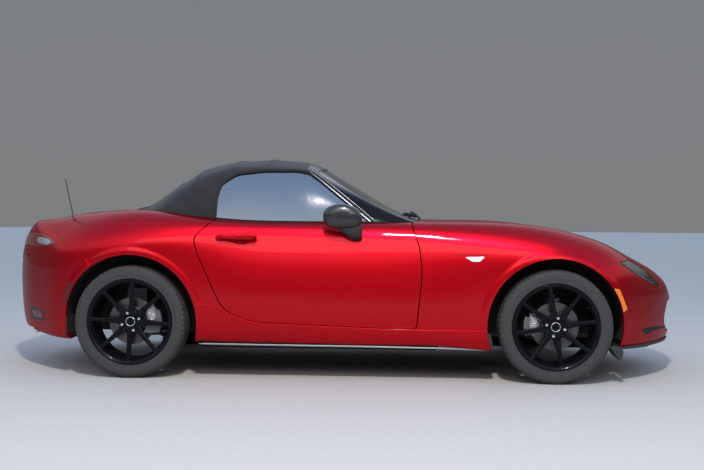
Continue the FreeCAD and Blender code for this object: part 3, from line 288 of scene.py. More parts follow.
class Sheet:
    """A triangle net on a Surface, with a height over it."""

    def __init__(self, surf, lift, u, v, relief=None, fine=0.012):
        self.surf, self.lift, self.relief = surf, lift, relief
        uu, vv = np.meshgrid(u, v, indexing="ij")
        self.uv = np.stack([uu.ravel(), vv.ravel()], 1)
        nu, nv = len(u), len(v)
        i, j = np.meshgrid(np.arange(nu - 1), np.arange(nv - 1), indexing="ij")
        a = (i * nv + j).ravel()
        self.tri = np.concatenate([np.stack([a, a + nv, a + nv + 1], 1), np.stack([a, a + nv + 1, a + 1], 1)])
        self.h = fine

    def base(self, uv):
        return self.surf.point_normal(uv[:, 0], uv[:, 1])

    def place(self, uv):
        p, n = self.base(uv)
        if self.relief is None:
            return p + n * self.lift, n
        return p + n * (self.lift + self.relief(p))[:, None], n

    def normals(self, uv):
        if self.relief is None:
            return self.base(uv)[1]
        e = 2e-5
        ua, ub = uv + [e, 0], uv - [e, 0]
        va, vb = uv + [0, e], uv - [0, e]
        nn = np.cross(self.place(ua)[0] - self.place(ub)[0], self.place(va)[0] - self.place(vb)[0])
        nn /= np.maximum(np.linalg.norm(nn, axis=1, keepdims=True), 1e-15)
        return nn * np.sign((nn * self.base(uv)[1]).sum(1, keepdims=True))

    def keep(self, *tests):
        for f in tests:
            self.cut(f)
        return self

    def cut(self, f):
        """Keep where f is above 0; points near the line are first moved on to it."""
        if not len(self.tri):
            return
        used = np.unique(self.tri)
        index = np.full(len(self.uv), -1)
        index[used] = np.arange(len(used))
        self.uv, self.tri = self.uv[used], index[self.tri]
        val = f(self.base(self.uv)[0])
        near = np.abs(val) < 0.28 * self.h
        if near.any():
            uv = self.uv[near].copy()
            for _ in range(2):
                e = 1e-4
                g0 = f(self.base(uv)[0])
                gu = (f(self.base(uv + [e, 0])[0]) - g0) / e
                gv = (f(self.base(uv + [0, e])[0]) - g0) / e
                scale = np.maximum(gu * gu + gv * gv, 1e-9)
                uv = np.clip(uv - np.stack([g0 * gu / scale, g0 * gv / scale], 1), 0, 1)
            ok = np.abs(f(self.base(uv)[0])) < 2e-4
            idx = np.nonzero(near)[0][ok]
            self.uv[idx] = uv[ok]
            val[idx] = 0.0
        pos = val >= 0
        count = pos[self.tri].sum(1)
        out = [self.tri[count == 3]]
        # a triangle that touches the line only with moved corners has no area inside
        out[0] = out[0][~(val[out[0]] == 0).all(1)]
        mixed = self.tri[(count == 1) | (count == 2)]
        if len(mixed):
            k = pos[mixed].sum(1)
            lone = np.where(k == 1, np.argmax(pos[mixed], 1), np.argmin(pos[mixed], 1))
            r = np.arange(len(mixed))
            a, b, c = mixed[r, lone], mixed[r, (lone + 1) % 3], mixed[r, (lone + 2) % 3]
            pairs = np.concatenate([np.stack([a, b], 1), np.stack([a, c], 1)])
            key = np.sort(pairs, 1)
            uniq, inv = np.unique(key, axis=0, return_inverse=True)
            inv = inv.ravel()
            fa, fb = val[uniq[:, 0]], val[uniq[:, 1]]
            lo, hi = np.zeros(len(uniq)), np.ones(len(uniq))
            t = np.clip(fa / np.where(fa == fb, 1e-12, fa - fb), 0, 1)
            ends = (fa == 0) | (fb == 0)
            for _ in range(5):
                uv = self.uv[uniq[:, 0]] * (1 - t[:, None]) + self.uv[uniq[:, 1]] * t[:, None]
                ft = f(self.base(uv)[0])
                same = (ft >= 0) == (fa >= 0)
                lo, hi = np.where(same, t, lo), np.where(same, hi, t)
                fa2, fb2 = np.where(same, ft, fa), np.where(same, fb, ft)
                fa, fb = np.where(ends, fa, fa2), np.where(ends, fb, fb2)
                part = np.clip(fa / np.where(fa == fb, 1e-12, fa - fb), 0.02, 0.98)
                t = np.where(ends, t, lo + (hi - lo) * part)
            t = np.where(val[uniq[:, 0]] == 0, 0.0, np.where(val[uniq[:, 1]] == 0, 1.0, t))
            fresh = len(self.uv) + np.arange(len(uniq))
            fresh = np.where(t == 0, uniq[:, 0], np.where(t == 1, uniq[:, 1], fresh))
            uv = self.uv[uniq[:, 0]] * (1 - t[:, None]) + self.uv[uniq[:, 1]] * t[:, None]
            self.uv = np.concatenate([self.uv, uv])
            ab, ac = fresh[inv[:len(mixed)]], fresh[inv[len(mixed):]]
            one = k == 1
            out.append(np.stack([a, ab, ac], 1)[one])
            two = ~one
            out.append(np.stack([ab, b, c], 1)[two])
            out.append(np.stack([ab, c, ac], 1)[two])
        tri = np.concatenate(out)
        good = (tri[:, 0] != tri[:, 1]) & (tri[:, 1] != tri[:, 2]) & (tri[:, 0] != tri[:, 2])
        self.tri = tri[good]

    def mesh(self, edge=0.0022, depth=0.006, both=True, mirror_only=False):
        """Points, triangles and normals, with the rim rolled inwards."""
        used = np.unique(self.tri)
        index = np.full(len(self.uv), -1)
        index[used] = np.arange(len(used))
        uv, tri = self.uv[used], index[self.tri]
        p, n0 = self.place(uv)
        n = self.normals(uv)
        face_n = np.cross(p[tri[:, 1]] - p[tri[:, 0]], p[tri[:, 2]] - p[tri[:, 0]])
        if (face_n * n[tri[:, 0]]).sum() < 0:
            tri = tri[:, ::-1]
        e = np.concatenate([tri[:, [0, 1]], tri[:, [1, 2]], tri[:, [2, 0]]])
        key = np.sort(e, 1)
        _, first, cnt = np.unique(key, axis=0, return_index=True, return_counts=True)
        rim = e[first[cnt == 1]]
        P, T, N = [p], [tri], [n]
        if depth > 0 and len(rim):
            d = p[rim[:, 1]] - p[rim[:, 0]]
            d /= np.maximum(np.linalg.norm(d, axis=1, keepdims=True), 1e-9)
            away = np.cross(d, n[rim[:, 0]] + n[rim[:, 1]])
            acc = np.zeros_like(p)
            np.add.at(acc, rim[:, 0], away)
            np.add.at(acc, rim[:, 1], away)
            ring = np.unique(rim)
            out = acc[ring]
            nn = n[ring]
            out -= nn * (out * nn).sum(1, keepdims=True)
            out /= np.maximum(np.linalg.norm(out, axis=1, keepdims=True), 1e-9)
            pos = np.full(len(p), -1)
            pos[ring] = np.arange(len(ring))
            rows = [(p[ring], nn)]
            for ang in (30, 60, 90):
                s, c = math.sin(math.radians(ang)), math.cos(math.radians(ang))
                rows.append((p[ring] + out * edge * s - nn * edge * (1 - c), out * s + nn * c))
            extra = self.relief(self.base(uv[ring])[0]) if self.relief is not None else np.zeros(len(ring))
            rows.append((p[ring] + out * edge - nn * (depth + extra)[:, None], out))
            base = len(p)
            lines = [ring]
            for q, m in rows[1:]:
                lines.append(base + np.arange(len(ring)))
                P.append(q)
                N.append(m)
                base += len(ring)
            a, b = pos[rim[:, 0]], pos[rim[:, 1]]
            for k in range(len(rows) - 1):
                l0, l1 = lines[k], lines[k + 1]
                T.append(np.stack([l0[b], l0[a], l1[a]], 1))
                T.append(np.stack([l0[b], l1[a], l1[b]], 1))
        P, T, N = np.concatenate(P), np.concatenate(T), np.concatenate(N)
        flip = np.array([1, -1, 1.0])
        if mirror_only:
            return P * flip, T[:, ::-1], N * flip
        if both:
            return (np.concatenate([P, P * flip]), np.concatenate([T, T[:, ::-1] + len(P)]),
                    np.concatenate([N, N * flip]))
        return P, T, N



def new_object(name, data):
    ob = bpy.data.objects.new(name, data)
    bpy.context.scene.collection.objects.link(ob)
    return ob


def add_mesh(name, P, T, N=None, body="chassis", mat=None):
    """A smooth piece from arrays of points, faces of equal count and, where given, normals."""
    me = bpy.data.meshes.new(name)
    k = T.shape[1]
    me.vertices.add(len(P))
    me.vertices.foreach_set("co", P.astype(np.float32).ravel())
    me.loops.add(len(T) * k)
    me.loops.foreach_set("vertex_index", T.astype(np.int32).ravel())
    me.polygons.add(len(T))
    me.polygons.foreach_set("loop_start", (np.arange(len(T)) * k).astype(np.int32))
    me.update(calc_edges=True)
    me.validate()
    me.polygons.foreach_set("use_smooth", np.full(len(me.polygons), True))
    if N is not None and len(me.vertices) == len(N):
        me.normals_split_custom_set_from_vertices(np.asarray(N, np.float32).tolist())
    ob = new_object(name, me)
    me.materials.append(mat)
    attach(ob, body)
    return ob


def span(surf, x0, x1, count, v0, v1, vcount):
    """Even steps along the length between x0 and x1, and across it between v0 and v1."""
    us = np.linspace(0, 1, 2001)
    xs = surf.point_normal(us, np.full(2001, 0.5))[0][:, 0]
    inn = us[(xs >= x0 - 0.03) & (xs <= x1 + 0.03)]
    arc = surf.point_normal(inn, np.full(len(inn), 0.3))[0]
    run = np.concatenate([[0], np.cumsum(np.linalg.norm(np.diff(arc, axis=0), axis=1))])
    return np.interp(np.linspace(0, run[-1], count), run, inn), np.linspace(v0, v1, vcount)


# ---------------------------------------------------------------- shapes of points and faces
def rings(stations, loop=False):
    """Loft through rings of equal count, with closed ends; loop joins the last ring to the first."""
    P = np.concatenate([np.asarray(s, float) for s in stations])
    m, n = len(stations[0]), len(stations)
    F = [(i * m + a, i * m + (a + 1) % m, (i + 1) % n * m + (a + 1) % m, (i + 1) % n * m + a)
         for i in range(n if loop else n - 1) for a in range(m)]
    if not loop:
        F += [tuple(range(m)), tuple(range((n - 1) * m, n * m))]
    return P, F


def extrude(poly, levels, axis=1, centre=(0, 0)):
    """Loft an outline through levels of (place along the axis, scale about the centre)."""
    c = np.asarray(centre, float)
    return rings([np.insert(c + (poly - c) * k, axis, at, axis=1) for at, k in levels])


def circle(count):
    a = np.arange(count) * 2 * math.pi / count
    return np.stack([np.cos(a), np.sin(a)], 1)


def revolve(profile, segs, at, out=1.0, closed=True):
    """A profile of (offset along the axle, radius) pairs turned about Y; out is the side it faces."""
    prof, c = np.array(profile, float), circle(segs)
    n = len(prof)
    P = np.zeros((segs, n, 3))
    P[:, :, 0] = at[0] + c[:, :1] * prof[None, :, 1]
    P[:, :, 1] = at[1] + out * prof[None, :, 0]
    P[:, :, 2] = at[2] + c[:, 1:] * prof[None, :, 1]
    i, j = np.meshgrid(np.arange(segs), np.arange(n if closed else n - 1), indexing="ij")
    i, j = i.ravel(), j.ravel()
    i2, j2 = (i + 1) % segs, (j + 1) % n
    Q = np.stack([i * n + j, i2 * n + j, i2 * n + j2, i * n + j2], 1)
    return P.reshape(-1, 3), Q[:, ::-1] if out < 0 else Q


def facing(at, aim, profile, segs=40):
    """A turned piece at a point, with its axis along aim; profile pairs are (along, radius)."""
    aim = np.asarray(aim, float) / np.linalg.norm(aim)
    across = np.cross(aim, [0, 0, 1.0])
    across /= np.linalg.norm(across)
    c, frame_2d = circle(segs), np.stack([across, np.cross(across, aim)])
    return rings([np.asarray(at) + aim * s + r * (c @ frame_2d) for s, r in profile])


def tube(points, r, segs=12):
    p = np.asarray(points, float)
    T = np.gradient(p, axis=0)
    T /= np.linalg.norm(T, axis=1, keepdims=True)
    A = np.cross(T, np.where(np.abs(T[:, 2:3]) < 0.9, [[0, 0, 1.0]], [[1.0, 0, 0]]))
    A /= np.linalg.norm(A, axis=1, keepdims=True)
    B = np.cross(T, A)
    c = circle(segs)[None, :, :, None]
    r = np.broadcast_to(np.asarray(r, float), (len(p),))[:, None, None]
    return rings(list(p[:, None] + r * (A[:, None] * c[:, :, 0] + B[:, None] * c[:, :, 1])))


def even(points, gap, closed=False):
    """The polyline through the points, at even steps."""
    p = np.asarray(points, float)
    if closed:
        p = np.concatenate([p, p[:1]])
    run = np.concatenate([[0], np.cumsum(np.linalg.norm(np.diff(p, axis=0), axis=1))])
    t = np.linspace(0, run[-1], max(3, int(round(run[-1] / gap)) + 1))
    out = np.stack([np.interp(t, run, p[:, k]) for k in range(p.shape[1])], 1)
    return out[:-1] if closed else out


def smooth(points, count, loop=False):
    """A smooth curve through the points, open or closed."""
    p = np.asarray(points, float)
    n = len(p)
    places = np.arange(count) * n / count if loop else np.linspace(0, n - 1, count)
    p = np.concatenate([p[-1:], p, p[:2]] if loop else [[2 * p[0] - p[1]], p, [2 * p[-1] - p[-2]]])
    out = []
    for t in places:
        k = min(int(t), len(p) - 4)
        f = t - k
        a, b, c, d = p[k:k + 4]
        out.append(0.5 * (2 * b + (c - a) * f + (2 * a - 5 * b + 4 * c - d) * f * f + (3 * b - a - 3 * c + d) * f ** 3))
    return np.array(out)


def band(w, h, r=0.001, base=-0.0015):
    """Cross-section of a strip, w wide and h proud, with eased edges."""
    half = [(w / 2, base), (w / 2, h - r), (w / 2 - 0.3 * r, h - 0.3 * r), (w / 2 - r, h)]
    return [(-a, b) for a, b in half] + half[::-1]


def sweep(P, N, profile, closed=False, shift=0.0, taper=None):
    """A profile of (across, along the normal) pairs carried along the points P with normals N.

    taper is a pair: places along the strip between 0 and 1, and how wide it is there."""
    P, N, prof = np.asarray(P, float), np.asarray(N, float), np.array(profile, float)
    T = np.roll(P, -1, axis=0) - np.roll(P, 1, axis=0) if closed else np.gradient(P, axis=0)
    T /= np.linalg.norm(T, axis=1, keepdims=True)
    A = np.cross(N, T)
    A /= np.linalg.norm(A, axis=1, keepdims=True)
    k = np.interp(np.linspace(0, 1, len(P)), *(taper or ([0, 1], [1, 1])))[:, None]
    R = (P + A * shift)[:, None, :] + A[:, None, :] * (prof[None, :, 0] * k)[:, :, None] \
        + N[:, None, :] * (prof[None, :, 1] * np.minimum(1, k * 1.2))[:, :, None]
    return rings(list(R), loop=closed)


def joined(shape):
    """One (points, faces) from a shape, or from a list of shapes."""
    if isinstance(shape, tuple):
        return shape
    P, F, n = [], [], 0
    for p, f in shape:
        P += [tuple(q) for q in p]
        F += [tuple(int(k) + n for k in g) for g in f]
        n += len(p)
    return P, F


def mirrored(shape):
    P, F = joined(shape)
    return np.asarray(P, float) * [1, -1, 1], [tuple(f[::-1]) for f in F]


def both(shape):
    """The shape on both sides of the car."""
    return joined([joined(shape), mirrored(shape)])


SIDES = (("right", joined), ("left", mirrored))


def solid(name, shape, mat, body="chassis", angle=40, bevel=0.0):
    """A piece from a shape or a list of them: outward normals, smooth up to the angle."""
    P, F = joined(shape)
    me = bpy.data.meshes.new(name)
    me.from_pydata([tuple(map(float, p)) for p in P], [], [tuple(map(int, f)) for f in F])
    me.validate()
    bm = bmesh.new()
    bm.from_mesh(me)
    bmesh.ops.recalc_face_normals(bm, faces=bm.faces)
    bm.to_mesh(me)
    bm.free()
    me.polygons.foreach_set("use_smooth", np.full(len(me.polygons), True))
    me.materials.append(mat)
    ob = new_object(name, me)
    if bevel:
        bv = ob.modifiers.new("bevel", "BEVEL")
        bv.width, bv.segments, bv.limit_method = bevel, 2, "ANGLE"
    me.set_sharp_from_angle(angle=math.radians(angle))
    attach(ob, body)
    return ob


# ---------------------------------------------------------------- materials
def node(m, kind, **values):
    n = m.node_tree.nodes.new(kind)
    for k, v in values.items():
        if k in n.inputs:
            n.inputs[k].default_value = v
        else:
            setattr(n, k, v)
    return n


def link(m, a, out, b, into):
    m.node_tree.links.new(a.outputs[out], b.inputs[into])


def new_material(name):
    m = bpy.data.materials.new(name)
    m.use_nodes = True
    return m, m.node_tree.nodes["Principled BSDF"]


def plain(b, metal, extra):
    """The constant values of the main shader."""
    b.inputs["Metallic"].default_value = metal
    for k, v in extra.items():
        b.inputs[k.replace("_", " ")].default_value = v


def noise(m, scale, detail):
    """Noise in the object's own space."""
    n = node(m, "ShaderNodeTexNoise", Scale=scale, Detail=detail)
    link(m, node(m, "ShaderNodeTexCoord"), "Object", n, "Vector")
    return n


def ramp(m, source, socket, low, high, start=0.0, end=1.0):
    r = node(m, "ShaderNodeValToRGB")
    a, b = r.color_ramp.elements
    a.position, a.color, b.position, b.color = start, (*low, 1), end, (*high, 1)
    link(m, source, socket, r, "Fac")
    return r


def vary_roughness(m, source, socket, b, limits):
    mr = node(m, "ShaderNodeMapRange")
    mr.inputs["To Min"].default_value, mr.inputs["To Max"].default_value = limits
    link(m, source, socket, mr, "Value")
    link(m, mr, "Result", b, "Roughness")


def stuff(name, scale, low, high, rough, metal=0.0, bump=0.0, dist=0.001, **extra):
    """Mottled colour from low to high, with roughness and bump from the same noise."""
    m, b = new_material(name)
    plain(b, metal, extra)
    n = noise(m, scale, 6.0)
    n.inputs["Roughness"].default_value = 0.6
    link(m, ramp(m, n, "Fac", low, high, 0.3, 0.7), "Color", b, "Base Color")
    if bump:
        bp = node(m, "ShaderNodeBump", Strength=bump, Distance=dist)
        link(m, n, "Fac", bp, "Height")
        link(m, bp, "Normal", b, "Normal")
    vary_roughness(m, n, "Fac", b, rough)
    return m


def multiply(m, a, socket, b):
    mix = node(m, "ShaderNodeMix", data_type="RGBA", blend_type="MULTIPLY")
    mix.inputs[0].default_value = 1.0
    link(m, a, socket, mix, 6)
    link(m, b, "Color", mix, 7)
    return mix


def paint_material(name, base, deep):
    """Metallic base coat under clear lacquer: bright where it faces the eye, deep at its edges."""
    m, b = new_material(name)
    plain(b, 0.88, dict(Coat_Weight=0.36, Coat_Roughness=0.02, Coat_IOR=1.45, Specular_IOR_Level=0.10,
                        Specular_Tint=(0.60, 0.03, 0.12, 1.0)))
    flake = node(m, "ShaderNodeTexVoronoi", Scale=2600.0)
    link(m, node(m, "ShaderNodeTexCoord"), "Object", flake, "Vector")
    sep = node(m, "ShaderNodeSeparateColor")
    link(m, flake, "Color", sep, "Color")
    body = ramp(m, node(m, "ShaderNodeLayerWeight", Blend=0.42), "Facing", base, deep, end=0.85)
    speck = ramp(m, sep, "Green", (0.80, 0.74, 0.74), (1.0, 1.0, 1.0))
    dust = ramp(m, noise(m, 3.0, 5.0), "Fac", (0.94, 0.94, 0.94), (1.0, 1.0, 1.0))
    link(m, multiply(m, multiply(m, body, "Color", speck), 2, dust), 2, b, "Base Color")
    vary_roughness(m, sep, "Red", b, (0.28, 0.42))
    return m


def glass_material(name, tint, clear, ior):
    """Thin glass: clear at the centre of view, a mirror at a grazing angle."""
    m, _ = new_material(name)
    m.node_tree.nodes.clear()
    see, gloss = node(m, "ShaderNodeBsdfTransparent"), node(m, "ShaderNodeBsdfGlossy", Roughness=clear)
    link(m, ramp(m, noise(m, 14.0, 4.0), "Fac", [t * 0.96 for t in tint], tint), "Color", see, "Color")
    mix = node(m, "ShaderNodeMixShader")
    link(m, node(m, "ShaderNodeFresnel", IOR=ior), "Fac", mix, 0)
    link(m, see, "BSDF", mix, 1)
    link(m, gloss, "BSDF", mix, 2)
    link(m, mix, "Shader", node(m, "ShaderNodeOutputMaterial"), "Surface")
    return m


PAINT = paint_material("paint", (0.63, 0.0020, 0.0100), (0.32, 0.0014, 0.0160))
BLACK_GLOSS = stuff("black_gloss", 60, (0.007, 0.007, 0.008), (0.011, 0.011, 0.012), (0.16, 0.24),
                    Specular_IOR_Level=0.08)
BLACK_PLASTIC = stuff("black_plastic", 900, (0.016, 0.016, 0.017), (0.026, 0.026, 0.027), (0.5, 0.68), 0, 0.25, 0.0004)
UNDERSEAL = stuff("underseal", 120, (0.012, 0.012, 0.012), (0.03, 0.029, 0.028), (0.7, 0.95), 0, 0.5, 0.002)
RUBBER = stuff("rubber", 220, (0.030, 0.030, 0.031), (0.046, 0.045, 0.045), (0.62, 0.8), 0, 0.15, 0.0006)
SEAL = stuff("seal", 500, (0.010, 0.010, 0.011), (0.016, 0.016, 0.017), (0.5, 0.7), 0, 0.1, 0.0003,
             Specular_IOR_Level=0.15)
STEEL = stuff("steel", 90, (0.24, 0.24, 0.25), (0.38, 0.38, 0.39), (0.25, 0.5), 1, 0.1, 0.0005)
CAST = stuff("cast", 160, (0.10, 0.10, 0.105), (0.19, 0.19, 0.195), (0.5, 0.75), 0.7, 0.35, 0.001)
ALLOY = stuff("alloy", 140, (0.38, 0.38, 0.39), (0.52, 0.52, 0.53), (0.35, 0.55), 1, 0.25, 0.0008)
CHROME = stuff("bright_trim", 200, (0.70, 0.71, 0.73), (0.80, 0.81, 0.83), (0.08, 0.18), 1)
CLOTH = stuff("top_cloth", 700, (0.0075, 0.0075, 0.0085), (0.0165, 0.0165, 0.0185), (0.85, 1.0), 0, 0.3, 0.0005,
              Sheen_Weight=0.12, Sheen_Roughness=0.4)
MIRROR_BLACK = stuff("mirror_black", 300, (0.006, 0.006, 0.007), (0.018, 0.018, 0.019), (0.24, 0.36), 0, 0.04, 0.0003,
                     Coat_Weight=0.4, Coat_Roughness=0.05)
MIRROR_GLASS = stuff("mirror_glass", 100, (0.66, 0.68, 0.70), (0.74, 0.76, 0.78), (0.02, 0.05), 1)
PLATE_WHITE = stuff("plate_blank", 200, (0.68, 0.69, 0.70), (0.76, 0.77, 0.78), (0.3, 0.42))
SEAT = stuff("seat_fabric", 900, (0.014, 0.014, 0.016), (0.034, 0.033, 0.034), (0.75, 0.95), 0, 0.35, 0.0006,
             Sheen_Weight=0.4, Sheen_Roughness=0.45)
LEATHER = stuff("leather", 620, (0.012, 0.012, 0.013), (0.024, 0.023, 0.024), (0.42, 0.6), 0, 0.35, 0.0005,
                Coat_Weight=0.1)
SATIN = stuff("satin_trim", 260, (0.34, 0.34, 0.35), (0.46, 0.46, 0.47), (0.28, 0.42), 0.9)
LAMP_WHITE = stuff("lamp_reflector", 220, (0.62, 0.66, 0.72), (0.80, 0.83, 0.88), (0.2, 0.3), Coat_Weight=0.6)
CALIPER = stuff("caliper_metal", 190, (0.36, 0.36, 0.37), (0.54, 0.54, 0.55), (0.3, 0.45), 0.75, 0.2, 0.0006)
LINING = stuff("lining", 500, (0.022, 0.022, 0.024), (0.036, 0.036, 0.038), (0.9, 1.0), 0, 0.2, 0.0004,
               Sheen_Weight=0.3)
TYRE = stuff("tyre_rubber", 60, (0.024, 0.024, 0.025), (0.042, 0.041, 0.040), (0.66, 0.88), 0, 0.12, 0.0005)
RIM = stuff("wheel_black", 90, (0.0035, 0.0036, 0.0045), (0.0065, 0.0066, 0.0080), (0.18, 0.32), 0, 0.03, 0.0003,
            Coat_Weight=0.1, Coat_Roughness=0.04, Specular_IOR_Level=0.06)
ROTOR_METAL = stuff("brake_steel", 40, (0.085, 0.082, 0.08), (0.15, 0.146, 0.14), (0.28, 0.42), 1, 0.08, 0.0003)
RED_LENS = stuff("red_lens", 300, (0.095, 0.001, 0.0015), (0.15, 0.0015, 0.0025), (0.12, 0.18),
                 Coat_Weight=0.3, Coat_Roughness=0.03, Specular_IOR_Level=0.2)
AMBER = stuff("amber_lens", 300, (0.84, 0.16, 0.003), (0.95, 0.22, 0.005), (0.18, 0.26), Coat_Weight=0.3,
              Coat_Roughness=0.03)
GLASS = glass_material("side_glass", (0.24, 0.28, 0.32), 0.05, 4.4)
SCREEN_GLASS = glass_material("screen_glass", (0.42, 0.54, 0.50), 0.01, 1.7)
LENS = glass_material("clear_lens", (0.86, 0.88, 0.90), 0.01, 1.45)

PLACES = ("front_right", "front_left", "rear_right", "rear_left")
# materials of the solids that show as they are; all others are black plastic
LOOKS = (
    (PAINT, "front_wings rear_quarters sills front_bumper rear_bumper bonnet boot_lid door_right door_left".split()),
    (SCREEN_GLASS, ["windscreen", "rear_window"]), (GLASS, ["door_glass_right", "door_glass_left"]),
    (LENS, ["headlamp_lenses"]), (RUBBER, ["tyre_" + p for p in PLACES]),
    (BLACK_GLOSS, ["windscreen_frame", "mirror_right", "mirror_left"] + ["rim_" + p for p in PLACES]),
    (CLOTH, ["soft_top"]), (CAST, ["front_suspension", "rear_suspension", "knuckle_right", "knuckle_left"]),
    (ALLOY, ["engine", "driveline", "radiator"]), (STEEL, ["exhaust"]), (UNDERSEAL, ["cabin_tub", "arch_liners"]))
look = {name: m for m, names in LOOKS for name in names}
for name, ob in NODES.items():
    ob.data.materials.clear()
    ob.data.materials.append(look.get(name, BLACK_PLASTIC))

# ---------------------------------------------------------------- painted panels
# how far the skins stand off the solids, and the radius of their rolled edges
LIFT = 0.0009
ROLL = 0.0022
off_door, off_bonnet = off(door_side(DOOR, 0.005 + ROLL)), off(plan(BONNET, 0.0065 + ROLL))
off_lid = off(plan(LID, 0.005 + ROLL))
front_arch, rear_arch = round_hole(FX, ARCH - 0.001 + ROLL), round_hole(RX, ARCH - 0.001 + ROLL)


def hull_sheet(x0, x1, v0=0.0, v1=0.5, h=0.012, relief=lips):
    u, v = span(hull, x0, x1, max(8, int((x1 - x0 + 0.06) * 1.12 / h)), v0, v1, int(1.75 * (v1 - v0) / 0.5 / h))
    return Sheet(hull, LIFT, u, v, relief, h)


for name, x0, x1, zone, tests in (
        ("front_wing_skins", 0.36, 1.87, WING_ZONE, (off_door, off_bonnet, front_arch)),
        ("rear_quarter_skins", -1.96, -0.40, QUARTER_ZONE, (off_door, off_lid, rear_arch, off(plan(DECK_HOLE, ROLL)))),
        ("sill_skins", -0.80, 0.92, SILL_ZONE, (off_door, front_arch, rear_arch)),
        ("front_bumper_skin", 1.15, 1.9575, BUMPER_ZONE,
         (front_arch, off_bonnet, off(side(LAMP, 0.002 + ROLL)), off(front(MOUTH, ROLL)), half_space(2, 0.201))),
        ("rear_bumper_skin", -1.9575, -1.08, REAR_ZONE,
         (rear_arch, off_lid, off(front(PLATE, ROLL)), off(side(TAIL, 0.002 + ROLL))))):
    panel = hull_sheet(x0, x1).keep(side(zone, -0.0008 - ROLL), *tests)
    add_mesh(name, *panel.mesh(ROLL), mat=PAINT)
for tag, _ in SIDES:
    door = hull_sheet(-0.80, 0.52, h=0.010, relief=cup).keep(door_side(DOOR, 0.001 - ROLL),
                                                             half_space(1, DOOR_INSIDE - ROLL, -1.0))
    add_mesh("door_skin_" + tag, *door.mesh(ROLL, both=False, mirror_only=tag == "left"), body=tag + "_door", mat=PAINT)
hood = hull_sheet(0.43, 1.89, 0.2, 0.8, relief=None).keep(plan(BONNET, 0.002 - ROLL), half_space(2, 0.45))
add_mesh("bonnet_skin", *hood.mesh(ROLL, both=False), body="bonnet_panel", mat=PAINT)
lid = hull_sheet(-1.9575, -1.30, 0.15, 0.85, relief=None).keep(plan(LID, 0.001 - ROLL), half_space(2, 0.655 + ROLL))
add_mesh("boot_lid_skin", *lid.mesh(ROLL, both=False), body="boot_panel", mat=PAINT)

# ---------------------------------------------------------------- wheels and brakes
# profiles of (offset along the axle, radius)
TREAD_HALF = [(0.0900, 0.2345), (0.0950, 0.2358), (0.0992, 0.2385), (0.1004, 0.2415), (0.0994, 0.2450),
              (0.1004, 0.2500), (0.1018, 0.2570), (0.1024, 0.2650), (0.1021, 0.2730), (0.1012, 0.2800),
              (0.1004, 0.2840), (0.1008, 0.2850), (0.0992, 0.2868), (0.0976, 0.2910), (0.0950, 0.2960),
              (0.0915, 0.3000), (0.0865, 0.3027), (0.0790, 0.3046), (0.0700, 0.3060), (0.0600, 0.3068),
              (0.0515, 0.3073), (0.0505, 0.3005), (0.0425, 0.3005), (0.0415, 0.3075), (0.0190, 0.3079),
              (0.0180, 0.3010), (0.0100, 0.3010), (0.0090, 0.3080)]
INNER_HALF = [(-0.0780, 0.2345), (-0.0900, 0.2560), (-0.0900, 0.2760), (-0.0700, 0.2940)]
BARREL = [(0.0965, 0.2335), (0.0985, 0.2315), (0.0978, 0.2270), (0.0945, 0.2230), (0.0925, 0.2190), (0.0915, 0.2160),
          (0.0860, 0.2135), (0.0790, 0.2115), (0.0760, 0.2085), (0.0700, 0.2060), (0.0560, 0.2035), (0.0300, 0.1985),
          (-0.0200, 0.1965), (-0.0550, 0.1980), (-0.0760, 0.2080), (-0.0900, 0.2150), (-0.0975, 0.2240),
          (-0.0985, 0.2310), (-0.0965, 0.2335), (-0.0915, 0.2320), (-0.0905, 0.2180), (-0.0780, 0.2170),
          (-0.0640, 0.2100), (-0.0500, 0.2010), (0.0300, 0.2020), (0.0600, 0.2080), (0.0760, 0.2170), (0.0905, 0.2180),
          (0.0915, 0.2320)]
HUB = [(0.0460, 0.0225), (0.0600, 0.0235), (0.0650, 0.0270), (0.0670, 0.0300), (0.0680, 0.0360), (0.0665, 0.0430),
       (0.0650, 0.0560), (0.0620, 0.0640), (0.0560, 0.0680), (0.0380, 0.0690), (0.0360, 0.0600), (0.0360, 0.0225)]
# stations of a spoke: radius, width, offset of its face, depth
SPOKE = [(0.052, 0.048, 0.0660, 0.028), (0.075, 0.036, 0.0690, 0.024), (0.100, 0.030, 0.0740, 0.023),
         (0.130, 0.0265, 0.0795, 0.026), (0.160, 0.0245, 0.0840, 0.027), (0.185, 0.0240, 0.0870, 0.026),
         (0.203, 0.0255, 0.0890, 0.024), (0.213, 0.0310, 0.0905, 0.020), (0.2185, 0.0400, 0.0920, 0.016)]
CAP = [(0.052, 0.0255), (0.0690, 0.0262), (0.0712, 0.0255), (0.0722, 0.0235), (0.0706, 0.0215), (0.0712, 0.0180),
       (0.0722, 0.0120), (0.0728, 0.0060), (0.0731, 0.0008), (0.052, 0.0008)]
CAP_RING = [(0.0700, 0.0262), (0.0722, 0.0254), (0.0728, 0.0240), (0.0722, 0.0226), (0.0704, 0.0218), (0.0690, 0.0240)]
ROTOR = [(0.0105, 0.1290), (0.0110, 0.1296), (0.0230, 0.1296), (0.0238, 0.1288), (0.0240, 0.0890), (0.0236, 0.0870),
         (0.0245, 0.0800), (0.0360, 0.0745), (0.0362, 0.0560), (0.0320, 0.0555), (0.0100, 0.0700), (0.0020, 0.0800),
         (0.0020, 0.1288), (0.0028, 0.1296), (0.0085, 0.1296), (0.0090, 0.1290)]
VALVE = [(0.050, 0.0008), (0.050, 0.0045), (0.075, 0.0045), (0.078, 0.0036), (0.090, 0.0036), (0.091, 0.0008)]
PISTON = [(0.030, 0.0), (0.030, 0.0185), (0.0462, 0.0185), (0.0478, 0.0170), (0.0480, 0.0120), (0.0470, 0.0110),
          (0.0470, 0.0)]
VALVE_RADIUS, NUT_RADIUS, BLOCKS, TYRE_STEPS = 0.203, 0.050, 64, 384


